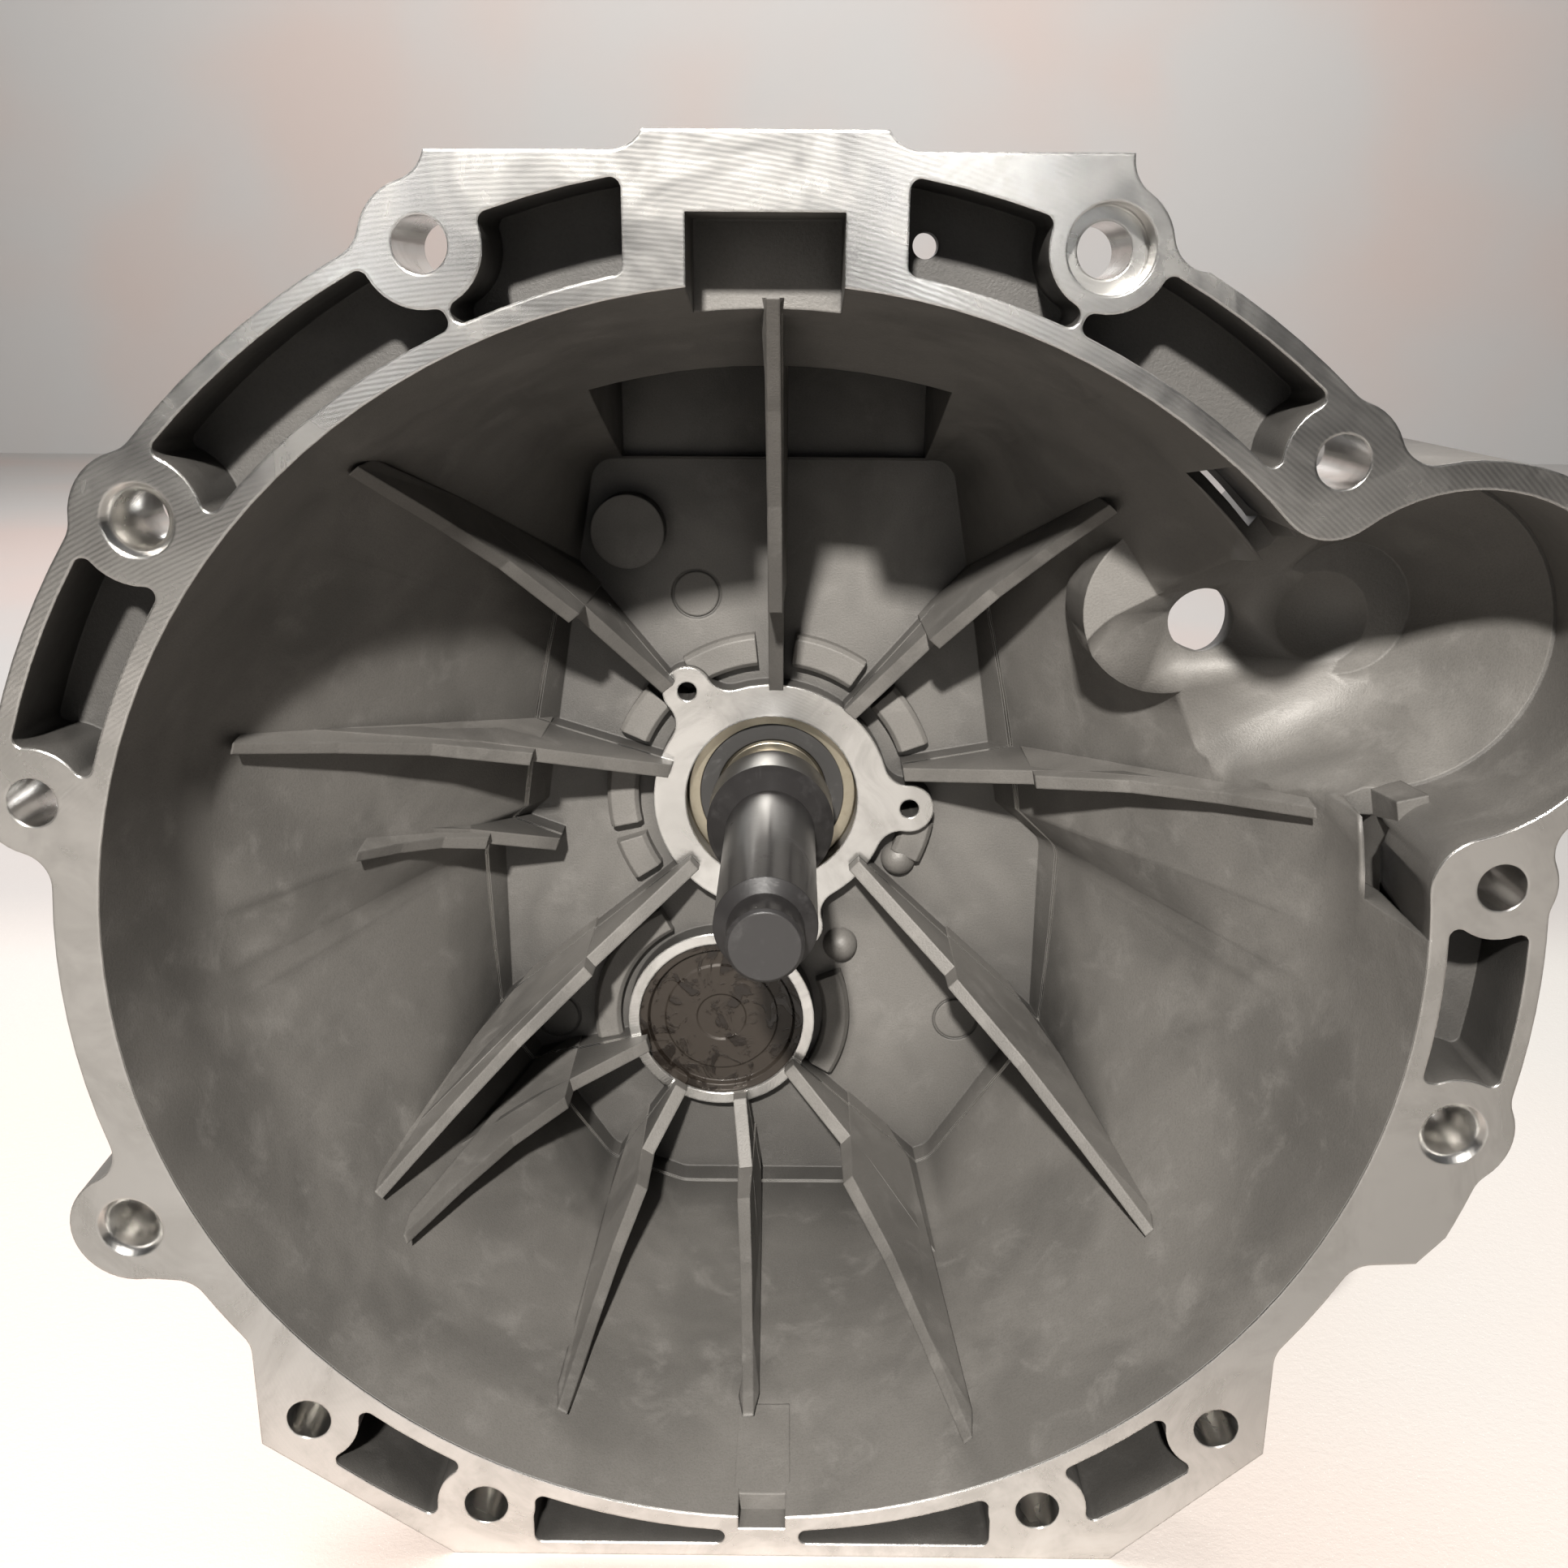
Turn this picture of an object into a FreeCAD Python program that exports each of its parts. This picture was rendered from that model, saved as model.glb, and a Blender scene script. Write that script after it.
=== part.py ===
"""Manual gearbox: a cast clutch bell with its bearing wall, the gear case, the rear housing and the gearing inside.

Millimetres. +Y runs along the shafts from the engine face into the gearbox, +X is to the right when looking into the
bell, +Z is up. The origin is the input shaft's axis where it crosses the machined engine face.
"""
import FreeCAD, Part
import math
import os
import Sketcher
from FreeCAD import Placement, Rotation, Vector

DRIVING_SIZES = [
    # clutch bell: mouth, shell and flange
    ("mouth_radius", 175.0),
    ("mouth_crease_radius", 165.0),
    ("mouth_crease_depth", 52.0),
    ("bell_depth", 166.0),
    ("bell_shell", 7.0),
    ("bearing_wall", 18.0),
    ("flange_depth", 34.0),
    ("flange_narrow_rim", 12.0),
    ("flange_wide_rim", 30.5),
    ("flange_corner_fillet", 9.0),
    ("flange_top", 203.5),
    ("flange_foot", 189.0),
    ("top_pad_half_width", 28.0),
    ("top_pad_rise", 4.5),
    # outline of the bearing wall, which the gear case carries on
    ("wall_top", 120.0),
    ("wall_bottom", 156.0),
    ("wall_upper_half_width", 72.0),
    ("wall_waist_half_width", 82.0),
    ("wall_lower_half_width", 99.0),
    ("wall_step_height", 14.0),
    ("wall_corner_radius", 14.0),
    # bolt and dowel holes of the engine flange
    ("bolt_hole_radius", 6.5),
    ("dowel_hole_radius", 7.0),
    ("dowel_chamfer", 2.2),
    ("bolt_boss_radius", 14.5),
    ("ear_bolt_x", 79.7),
    ("ear_bolt_z", 183.0),
    ("shoulder_bolt_x", 132.3),
    ("shoulder_bolt_z", 141.5),
    ("foot_bolt_x", 81.9),
    ("foot_bolt_z", 171.2),
    ("side_bolt_circle", 193.4),
    ("blind_hole_depth", 26.0),
    # windows that lighten the flange
    ("window_depth", 27.0),
    ("window_corner_radius", 2.5),
    ("window_wall", 6.0),
    # starter motor bulge
    ("starter_x", 173.0),
    ("starter_z", 84.0),
    ("starter_radius", 45.0),
    ("starter_depth", 104.0),
    ("starter_taper", 17.0),
    # input shaft boss and layshaft ring
    ("input_bearing_radius", 31.0),
    ("input_bearing_bore", 15.0),
    ("input_bearing_width", 16.0),
    ("boss_face", 156.0),
    ("boss_radius", 42.6),
    ("lug_circle", 50.0),
    ("lug_radius", 8.8),
    ("lug_hole_radius", 3.4),
    ("lug_hole_depth", 18.0),
    ("gear_centres", 90.0),
    ("layshaft_angle", 258.0),
    ("layshaft_bearing_radius", 31.0),
    ("layshaft_ring_radius", 35.2),
    ("ring_face", 157.0),
    ("layshaft_bearing_bore", 14.0),
    ("layshaft_bearing_width", 17.0),
    # ribs and small cast marks
    ("rib_thickness", 5.0),
    ("outer_rib_thickness", 6.0),
    # gear case
    ("case_length", 236.0),
    ("case_shell", 7.0),
    ("case_flange", 12.0),
    ("case_flange_rim", 15.0),
    ("case_rear_wall", 20.0),
    ("case_bolt_radius", 4.2),
    ("case_bolt_head", 7.5),
    # rear housing
    ("rear_length", 150.0),
    ("rear_shell", 6.5),
    ("rear_mouth_half_width", 62.0),
    ("rear_nose_radius", 38.0),
    # shafts and gearing
    ("module", 3.0),
    ("gear_width", 22.0),
    ("backlash", 0.5),
    ("shaft_tip", 21.0),
    ("sleeve_wall", 2.0),
    ("spline_radius", 13.2),
    ("pilot_radius", 9.2),
    ("collar_radius", 21.8),
    ("main_shaft_radius", 17.0),
    ("main_bearing_radius", 36.0),
    ("running_gap", 0.3),
    ("selector_rail_radius", 7.0),
    ("shift_travel", 7.0),
    # output
    ("output_flange_radius", 55.0),
    ("output_flange_thickness", 10.0),
    ("output_bolt_circle_radius", 42.0),
    ("output_bolt_hole_radius", 5.25),
]

doc = FreeCAD.newDocument("Gearbox")
sheet = doc.addObject("Spreadsheet::Sheet", "Sizes")


class Size:
    """A length or angle that knows its number and the spreadsheet expression it comes from."""

    def __init__(self, number, text):
        self.number = float(number)
        self.text = text

    def __float__(self):
        return self.number

    def _join(self, other, sign, number):
        text = other.text if isinstance(other, Size) else repr(float(other))
        return Size(number, f"({self.text} {sign} {text})")

    def __add__(self, other):
        return self._join(other, "+", self.number + float(other))

    def __sub__(self, other):
        return self._join(other, "-", self.number - float(other))

    def __mul__(self, other):
        return self._join(other, "*", self.number * float(other))

    def __truediv__(self, other):
        return self._join(other, "/", self.number / float(other))

    def __neg__(self):
        return Size(-self.number, f"(0 - {self.text})")


def plain(number):
    """A fixed number, such as an axis position of zero, in the same form as a Size."""
    return Size(number, repr(float(number)))


def fill_sheet():
    """Writes every driving size to its own named cell and returns them by name."""
    sizes = {}
    for row, (name, number) in enumerate(DRIVING_SIZES, start=1):
        sheet.set(f"A{row}", name)
        sheet.set(f"B{row}", str(number))
        sheet.setAlias(f"B{row}", name)
        sizes[name] = Size(number, f"Sizes.{name}")
    doc.recompute()
    return sizes


SIZES = fill_sheet()


def size(name):
    return SIZES[name]


def bind(item, **properties):
    """Ties an object's properties to spreadsheet expressions."""
    for name, value in properties.items():
        item.setExpression(name, value.text if isinstance(value, Size) else str(value))
    return item


ALONG_Y = Rotation(Vector(1, 0, 0), -90)
UPRIGHT = Rotation()
ALONG_X = Rotation(Vector(0, 1, 0), 90)


def put(item, x=0.0, y=0.0, z=0.0, rotation=UPRIGHT):
    """Places an object; coordinates that are sizes stay tied to the sheet."""
    item.Placement = Placement(Vector(float(x), float(y), float(z)), rotation)
    for axis, value in zip("xyz", (x, y, z)):
        if isinstance(value, Size):
            item.setExpression(f"Placement.Base.{axis}", value.text)
    return item


# ---------------------------------------------------------------- building blocks

def cylinder(name, radius, length, x=0.0, y=0.0, z=0.0, rotation=ALONG_Y):
    item = doc.addObject("Part::Cylinder", name)
    bind(item, Radius=radius, Height=length)
    return put(item, x, y, z, rotation)


def cone(name, first_radius, last_radius, length, x=0.0, y=0.0, z=0.0):
    item = doc.addObject("Part::Cone", name)
    bind(item, Radius1=first_radius, Radius2=last_radius, Height=length)
    return put(item, x, y, z, ALONG_Y)


def block(name, width, depth, height, x=0.0, y=0.0, z=0.0):
    """A box of width along X, depth along Y and height along Z, placed by its lowest corner."""
    item = doc.addObject("Part::Box", name)
    bind(item, Length=width, Width=depth, Height=height)
    return put(item, x, y, z)


def fused(name, items):
    item = doc.addObject("Part::MultiFuse", name)
    item.Shapes = items
    return item


def shared(name, items):
    item = doc.addObject("Part::MultiCommon", name)
    item.Shapes = items
    return item


def cut(name, base, tools):
    item = doc.addObject("Part::Cut", name)
    item.Base = base
    item.Tool = tools[0] if len(tools) == 1 else fused(name + "_tools", tools)
    return item


def feature(name, shape):
    item = doc.addObject("Part::Feature", name)
    item.Shape = shape
    return item


def extruded(name, face, length, y=0.0):
    """A flat outline in the plane of the engine face, moved to y and extruded along the shafts."""
    base = put(feature(name + "_outline", face), y=y)
    item = doc.addObject("Part::Extrusion", name)
    item.Base = base
    item.DirMode = "Custom"
    item.Dir = Vector(0, 1, 0)
    item.Solid = True
    return bind(item, LengthFwd=length)


def turned(label, profile, x=0.0, z=0.0, y=0.0, rotation=UPRIGHT):
    """A PartDesign body revolved about its own Y axis from (radius, y) corners tied to the sheet."""
    body = doc.addObject("PartDesign::Body", label)
    sketch = body.newObject("Sketcher::SketchObject", label + "_profile")
    plane = next(item for item in body.Origin.OriginFeatures if item.Role == "XY_Plane")
    sketch.AttachmentSupport = (plane, [""])
    sketch.MapMode = "FlatFace"
    corners = [Vector(float(radius), float(y), 0) for radius, y in profile]
    count = len(corners)
    for index in range(count):
        sketch.addGeometry(Part.LineSegment(corners[index], corners[(index + 1) % count]), False)
    for index in range(count):
        sketch.addConstraint(Sketcher.Constraint("Coincident", index, 2, (index + 1) % count, 1))
    for index, corner in enumerate(profile):
        for kind, axis_line, value in (("DistanceX", -2, corner[0]), ("DistanceY", -1, corner[1])):
            if float(value) == 0:
                sketch.addConstraint(Sketcher.Constraint("PointOnObject", index, 1, axis_line))
                continue
            number = sketch.addConstraint(Sketcher.Constraint(kind, -1, 1, index, 1, float(value)))
            if isinstance(value, Size):
                sketch.setExpression(f"Constraints[{number}]", value.text)
    revolution = body.newObject("PartDesign::Revolution", label + "_revolution")
    revolution.Profile = sketch
    revolution.ReferenceAxis = (sketch, ["V_Axis"])
    revolution.Angle = 360
    return put(body, x, y, z, rotation)


# ---------------------------------------------------------------- flat outlines

def at(x, z):
    return Vector(float(x), 0, float(z))


def polar(radius, degrees):
    angle = math.radians(float(degrees))
    return float(radius) * math.cos(angle), float(radius) * math.sin(angle)


def disc(radius, x=0.0, z=0.0):
    return Part.Face(Part.Wire(Part.makeCircle(float(radius), at(x, z), Vector(0, 1, 0))))


def polygon(corners):
    points = [at(x, z) for x, z in corners]
    return Part.Face(Part.makePolygon(points + points[:1]))


def sector(inner, outer, first_degrees, last_degrees):
    """A piece of a ring between two angles."""
    reach = 2 * float(outer)
    middle = (first_degrees + last_degrees) / 2
    wedge = polygon([(0, 0)] + [polar(reach, a) for a in (first_degrees, middle, last_degrees)])
    return disc(outer).cut(disc(inner)).common(wedge).Faces[0]


def joined(faces):
    """One outline round several overlapping flat faces."""
    slabs = [face.extrude(Vector(0, 1, 0)) for face in faces]
    slab = slabs[0].fuse(slabs[1:]).removeSplitter()
    flat = [face for face in slab.Faces if face.BoundBox.YMax < 0.5]
    return max(flat, key=lambda face: face.Area)


def hollows_rounded(face, radius):
    """Rounds the inward corners of an outline."""
    return face.makeOffset2D(float(radius)).Faces[0].makeOffset2D(-float(radius)).Faces[0]


def corners_rounded(face, radius):
    """Rounds the outward corners of an outline."""
    return face.makeOffset2D(-float(radius)).Faces[0].makeOffset2D(float(radius)).Faces[0]


def rounded_polygon(corners, radius):
    return corners_rounded(polygon(corners), radius)


# ---------------------------------------------------------------- places that several pieces share

INPUT = (0.0, 0.0)
LAYSHAFT = polar(size("gear_centres"), size("layshaft_angle"))
LAYSHAFT_X = Size(LAYSHAFT[0], "(Sizes.gear_centres * cos(Sizes.layshaft_angle * 1 deg))")
LAYSHAFT_Z = Size(LAYSHAFT[1], "(Sizes.gear_centres * sin(Sizes.layshaft_angle * 1 deg))")
WALL_FACE = size("bell_depth")
WALL_BACK = size("bell_depth") + size("bearing_wall")
CASE_BACK = WALL_BACK + size("case_length")
REAR_BACK = CASE_BACK + size("rear_length")

# angles of the holes on the side of the flange, about the input shaft
SIDE_BOLTS = {"left": 165.9, "upper_right": 44.4, "right": 8.1}
SIDE_DOWELS = {"upper_left": 141.9, "lower_left": 203.7, "lower_right": -13.3}


def flange_bolts():
    """Centres of the engine flange's bolt holes, by name."""
    places = {name: polar(size("side_bolt_circle"), angle) for name, angle in SIDE_BOLTS.items()}
    pairs = {"ear": ("ear_bolt_x", "ear_bolt_z", 1),
             "shoulder": ("shoulder_bolt_x", "shoulder_bolt_z", -1),
             "foot": ("foot_bolt_x", "foot_bolt_z", -1)}
    for name, (across, up, sign) in pairs.items():
        for side in (-1, 1):
            places[f"{name}_{side}"] = (side * float(size(across)), sign * float(size(up)))
    return places


def flange_dowels():
    return {name: polar(size("side_bolt_circle"), angle) for name, angle in SIDE_DOWELS.items()}


def wall_corners():
    """Corners of the bearing wall's outline: narrow above the shafts, wide at the layshaft, flat below."""
    top, bottom = float(size("wall_top")), -float(size("wall_bottom"))
    upper, waist = float(size("wall_upper_half_width")), float(size("wall_waist_half_width"))
    lower, step = float(size("wall_lower_half_width")), float(size("wall_step_height"))
    right = [(upper * 0.86, top), (upper, top * 0.5), (waist, -step * 0.2), (lower, -step * 1.2),
             (lower, bottom * 0.56), (lower * 0.62, bottom * 0.93), (lower * 0.34, bottom)]
    left = [(-x, z) for x, z in reversed(right)]
    return right + left


def wall_outline(growth=0.0):
    face = rounded_polygon(wall_corners(), size("wall_corner_radius") - 6.0)
    return face.makeOffset2D(float(growth)).Faces[0] if float(growth) > 0 else face


def matching_circle(face, radius):
    """A circle split at the same angles as an outline's corners, so that the two loft without a twist."""
    edges = face.OuterWire.OrderedEdges
    arcs = []
    for edge in edges:
        first, last = edge.valueAt(edge.FirstParameter), edge.valueAt(edge.LastParameter)
        if edge.Orientation == "Reversed":
            first, last = last, first
        middle = (first + last) * 0.5
        points = [at(*polar(radius, math.degrees(math.atan2(p.z, p.x)))) for p in (first, middle, last)]
        arcs.append(Part.Arc(*points).toShape())
    return Part.Wire(arcs)


def lofted(name, face, circle_radius, circle_y, face_y, length_to_circle=0.0):
    """A solid that runs from a circle to the bearing wall's outline."""
    near = matching_circle(face, circle_radius).translated(Vector(0, float(circle_y), 0))
    far = face.OuterWire.translated(Vector(0, float(face_y), 0))
    return feature(name, Part.makeLoft([near, far], True, True))


# ---------------------------------------------------------------- the clutch bell

def flange_outline():
    """Outline of the engine flange: a rim, wide where it holds windows, with a boss at each bolt and dowel."""
    mouth = float(size("mouth_radius"))
    narrow, wide = mouth + float(size("flange_narrow_rim")), mouth + float(size("flange_wide_rim"))
    boss, dowel_boss = float(size("bolt_boss_radius")), float(size("bolt_boss_radius")) + 2.3
    ear, top, foot = float(size("ear_bolt_x")), float(size("flange_top")), -float(size("flange_foot"))
    hip, foot_side = float(size("shoulder_bolt_x")) + boss, float(size("foot_bolt_x")) + boss
    faces = [disc(narrow)]
    for first, last in ((-22, 12), (44, 60), (116, 168)):
        faces.append(sector(mouth - 5, wide, first, last))
    faces += [disc(boss, *place) for place in flange_bolts().values()]
    faces += [disc(dowel_boss, *place) for place in flange_dowels().values()]
    faces.append(polygon([(-ear + 2, 0), (-ear + 2, top), (ear + 4, top), (ear + 4, 0)]))
    pad, rise = float(size("top_pad_half_width")), float(size("top_pad_rise"))
    faces.append(polygon([(-pad, 0), (-pad, top + rise), (pad, top + rise), (pad, 0)]))
    hip_low = -float(size("shoulder_bolt_z")) - boss * 0.6
    faces.append(polygon([(-hip, -112), (-hip, hip_low), (-foot_side + 4, foot), (foot_side + 8, foot),
                          (hip, hip_low), (hip, -112)]))
    apron_x, apron_z = polar(size("side_bolt_circle"), SIDE_DOWELS["lower_right"])
    faces.append(polygon([(apron_x + 13, apron_z - 4), (apron_x + 1, apron_z - 34), (apron_x - 5, apron_z - 41),
                          (apron_x - 27, apron_z - 42), (apron_x - 50, apron_z)]))
    shelf_x, shelf_z = polar(size("side_bolt_circle"), SIDE_DOWELS["lower_left"])
    faces.append(polygon([(shelf_x - 5, shelf_z - 16), (shelf_x + 12, shelf_z - 17), (shelf_x + 40, shelf_z)]))
    faces.append(disc(size("starter_radius") + size("bell_shell"), size("starter_x"), size("starter_z")))
    return hollows_rounded(joined(faces), size("flange_corner_fillet"))


def window_faces():
    """Windows of the flange: ring sectors that stop short of the bosses beside them."""
    mouth = float(size("mouth_radius"))
    inner = mouth + float(size("window_wall")) - 1
    outer = mouth + float(size("flange_wide_rim")) - float(size("window_wall")) + 1.5
    pad, foot = float(size("top_pad_half_width")), float(size("flange_foot")) - float(size("window_wall")) + 1.5
    shapes = {
        "left": sector(inner, outer, 142, 166),
        "upper_left": sector(inner, outer, 114, 142),
        "top_left": sector(inner, outer, 99.5, 113.6),
        "top_right": sector(inner, outer, 66.4, 80.5),
        "upper_right": sector(inner, outer, 44.4, 66),
        "right": sector(inner, outer, -9.2, 8.1),
        "foot_left": sector(inner, outer, 226.9, 244.6),
        "foot_right": sector(inner, outer, 295.4, 313.1),
        "sump_left": polygon([(-68, -inner * 0.9), (-10, -inner * 0.9), (-10, -foot), (-68, -foot)]).cut(disc(inner)),
        "sump_right": polygon([(10, -inner * 0.9), (68, -inner * 0.9), (68, -foot), (10, -foot)]).cut(disc(inner)),
    }
    bosses = [disc(size("bolt_boss_radius"), *place) for place in flange_bolts().values()]
    bosses += [disc(size("bolt_boss_radius") + 1.8, *place) for place in flange_dowels().values()]
    bosses.append(polygon([(-pad - 5, 0), (-pad - 5, 2 * mouth), (pad + 5, 2 * mouth), (pad + 5, 0)]))
    blocked = bosses[0].fuse(bosses[1:])
    windows = {}
    for name, shape in shapes.items():
        face = max(shape.cut(blocked).Faces, key=lambda item: item.Area)
        windows[name] = corners_rounded(face, size("window_corner_radius"))
    return windows


# ends of each rib of the bell: where it leaves the bosses and where it runs out on the shell, as (x, y, z)
BELL_RIBS = {
    "top": ((1.5, 150, 46), (1.5, 26, 170)),
    "upper_left": ((-39, 151, 45), (-105, 68, 126)),
    "upper_right": ((30, 151, 36), (96, 108, 112)),
    "left": ((-40, 151, 13), (-150, 64, 47)),
    "left_short": ((-81, 152, -15), (-127, 103, 2)),
    "lower_left": ((-31, 151, -26), (-121, 82, -100)),
    "lower_left_outer": ((-50, 151, -97), (-111, 88, -112)),
    "foot_left": ((-36, 151, -117), (-61, 94, -154)),
    "foot": ((-11, 151, -122), (-5, 98, -163)),
    "foot_right": ((10, 151, -108), (60, 93, -154)),
    "lower_right": ((33, 151, -26), (118, 82, -106)),
    "right": ((51, 151, 12), (157, 62, 31)),
}


def rib(name, start, end, back):
    """A thin upright web between two points of its front edge, as deep as the wall behind it."""
    (x1, y1, z1), (x2, y2, z2) = start, end
    along = Vector(x2 - x1, 0, z2 - z1).normalize()
    reach = along * 6
    first, last = Vector(x1, y1, z1) - along * 4, Vector(x2, y2, z2) + reach
    middle = (first + last) * 0.5
    middle.y += 0.08 * abs(y2 - y1)
    corners = [first, middle, last, Vector(last.x, back, last.z), Vector(first.x, back, first.z)]
    side = along.cross(Vector(0, 1, 0)) * float(size("rib_thickness"))
    web = Part.Face(Part.makePolygon(corners + corners[:1])).extrude(side)
    return feature(name + "_rib", web.translated(side * -0.5))


def outer_rib(name, degrees):
    """A gusset on the outside of the bell, from the engine flange to the wall."""
    depth, back = float(size("flange_depth")) - 4, float(WALL_BACK) - 4
    rim = float(size("mouth_radius")) + float(size("flange_narrow_rim")) - 2
    corners = [Vector(60, depth, 0), Vector(rim, depth, 0), Vector(rim * 0.62, back, 0), Vector(60, back, 0)]
    side = Vector(0, 0, float(size("outer_rib_thickness")))
    web = Part.Face(Part.makePolygon(corners + corners[:1])).extrude(side).translated(side * -0.5)
    web.rotate(Vector(0, 0, 0), Vector(0, 1, 0), -degrees)
    return feature(name, web)


def boss_outline(radius, points, point_radius):
    """A round boss with smaller lugs joined to it by hollow curves."""
    faces = [disc(radius)] + [disc(point_radius, *place) for place in points]
    return hollows_rounded(joined(faces), point_radius)


LUG_ANGLES = (127.0, -3.5, -78.0)


def lug_places():
    return [polar(size("lug_circle"), angle) for angle in LUG_ANGLES]


def bell_rear_outline():
    return wall_outline(size("bell_shell") + size("case_flange_rim"))


def joint_bolts(count=13):
    """Bolt places spread evenly round the joint between bell and case."""
    path = wall_outline(size("bell_shell") + size("case_flange_rim") * 0.5).OuterWire
    return [(point.x, point.z) for point in path.discretize(Number=count)[:-1]]


def bell_housing():
    shell, flange_depth = size("bell_shell"), size("flange_depth")
    mouth, crease = size("mouth_radius"), size("mouth_crease_radius")
    crease_y = size("mouth_crease_depth")
    starter = {"x": size("starter_x"), "z": size("starter_z")}
    bowl_length = size("starter_depth") - size("starter_taper")

    outer = fused("bell_outer", [
        extruded("flange", flange_outline(), flange_depth),
        cone("outer_mouth", mouth + shell, crease + shell, crease_y),
        lofted("outer_shell", wall_outline(shell), crease + shell, crease_y, WALL_BACK),
        cylinder("starter_outer", size("starter_radius") + shell, bowl_length, **starter),
        cone("starter_outer_end", size("starter_radius") + shell, size("starter_radius") * 0.5, size("starter_taper"),
             y=bowl_length, **starter),
        extruded("rear_joint", bell_rear_outline(), size("case_flange"), WALL_BACK - size("case_flange")),
        block("recess_outer", plain(118), plain(112), plain(62), x=-59.0, y=WALL_BACK - 116.0, z=size("wall_top") - 20.0),
    ] + [outer_rib(f"outer_rib_{angle}", angle) for angle in (12, 62, 90, 118, 152, 180, 205, 232, 260, 284, 310, 340)])

    cavity = fused("bell_cavity", [
        cone("inner_mouth", mouth, crease, crease_y),
        lofted("inner_shell", wall_outline(), crease, crease_y, WALL_FACE),
        extruded("starter_mouth", starter_mouth(), plain(46)),
        cone("starter_bowl", size("starter_radius") - 1.0, size("starter_radius") * 0.45,
             bowl_length - 46.0, y=46.0, **starter),
        block("top_recess", plain(104), plain(88), plain(37), x=-52.0, y=WALL_BACK - 104.0, z=size("wall_top") + 1.0),
    ])

    inside = [
        extruded("input_boss", boss_outline(size("boss_radius"), lug_places(), size("lug_radius")),
                 WALL_BACK - size("boss_face"), size("boss_face")),
        cylinder("layshaft_ring", size("layshaft_ring_radius"), WALL_BACK - size("ring_face"),
                 x=LAYSHAFT_X, y=size("ring_face"), z=LAYSHAFT_Z),
        cylinder("wall_boss", plain(12.7), plain(20), x=-50.0, y=size("boss_face"), z=96.0),
        cylinder("sensor_pad", plain(27), plain(30), x=121.0, y=82.0, z=84.0),
    ]
    inside += [rib(name, start, end, float(WALL_FACE) + 2) for name, (start, end) in BELL_RIBS.items()]
    kept = shared("bell_inside", [fused("bell_bosses_and_ribs", inside), outer])
    casting = fused("bell_casting", [cut("bell_shell_body", outer, [cavity]), kept])

    holes = [
        cylinder("input_bearing_seat", size("input_bearing_radius"), plain(60), y=size("boss_face") - 1.0),
        cylinder("layshaft_bearing_seat", size("layshaft_bearing_radius"), plain(60),
                 x=LAYSHAFT_X, y=size("ring_face") - 1.0, z=LAYSHAFT_Z),
        cylinder("sensor_hole", plain(10), plain(120), x=131.0, y=60.0, z=80.0),
        cylinder("drip_hole", plain(3.2), flange_depth + 2.0, x=39.0, y=-1.0, z=184.5),
        block("top_slot", plain(37), plain(30), plain(30), x=-18.5, y=-1.0, z=size("mouth_radius") - 14.5),
        block("foot_notch", plain(14), flange_depth + 2.0, plain(14), x=-7.0, y=-1.0, z=-size("mouth_radius") - 4.0),
    ]
    for name, (x, z) in flange_bolts().items():
        blind = name.startswith("shoulder") or name.startswith("foot")
        depth = size("blind_hole_depth") if blind else flange_depth + 2.0
        holes.append(cylinder(f"bolt_hole_{name}", size("bolt_hole_radius"), depth + 1.0, x=x, y=-1.0, z=z))
    for name, (x, z) in flange_dowels().items():
        holes.append(cylinder(f"dowel_hole_{name}", size("dowel_hole_radius"), flange_depth + 2.0, x=x, y=-1.0, z=z))
        holes.append(cone(f"dowel_chamfer_{name}", size("dowel_hole_radius") + size("dowel_chamfer"),
                          size("dowel_hole_radius"), size("dowel_chamfer"), x=x, z=z))
    x, z = flange_bolts()["ear_1"]
    holes.append(cylinder("ear_counterbore", size("bolt_hole_radius") + 3.8, plain(9), x=x, y=-0.01, z=z))
    for name, face in window_faces().items():
        holes.append(extruded(f"window_{name}", face, size("window_depth") + 1.0, -1.0))
    for index, (x, z) in enumerate(lug_places()):
        holes.append(cylinder(f"lug_hole_{index}", size("lug_hole_radius"), size("lug_hole_depth") + 1.0,
                              x=x, y=size("boss_face") - 1.0, z=z))
    for index, (x, z) in enumerate(joint_bolts()):
        holes.append(cylinder(f"joint_hole_{index}", size("case_bolt_radius"), size("case_flange") + 2.0,
                              x=x, y=WALL_BACK - size("case_flange") - 1.0, z=z))
    for side in (-1, 1):
        holes.append(cylinder(f"rail_hole_{side}", size("selector_rail_radius") + 0.1, plain(17),
                              x=side * 20.0, y=WALL_BACK - 16.0, z=78.0))
    return cut("bell_housing", casting, holes)


def starter_mouth():
    """Opening of the starter bulge, run into the mouth of the bell by hollow curves."""
    mouth = disc(size("mouth_radius"))
    bulge = disc(size("starter_radius"), size("starter_x"), size("starter_z"))
    outline = hollows_rounded(joined([mouth, bulge]), 14)
    return outline.common(sector(float(size("mouth_radius")) - 6, 2 * float(size("mouth_radius")), 4, 50)).Faces[0]


# ---------------------------------------------------------------- gear case, rear housing and cover

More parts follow.
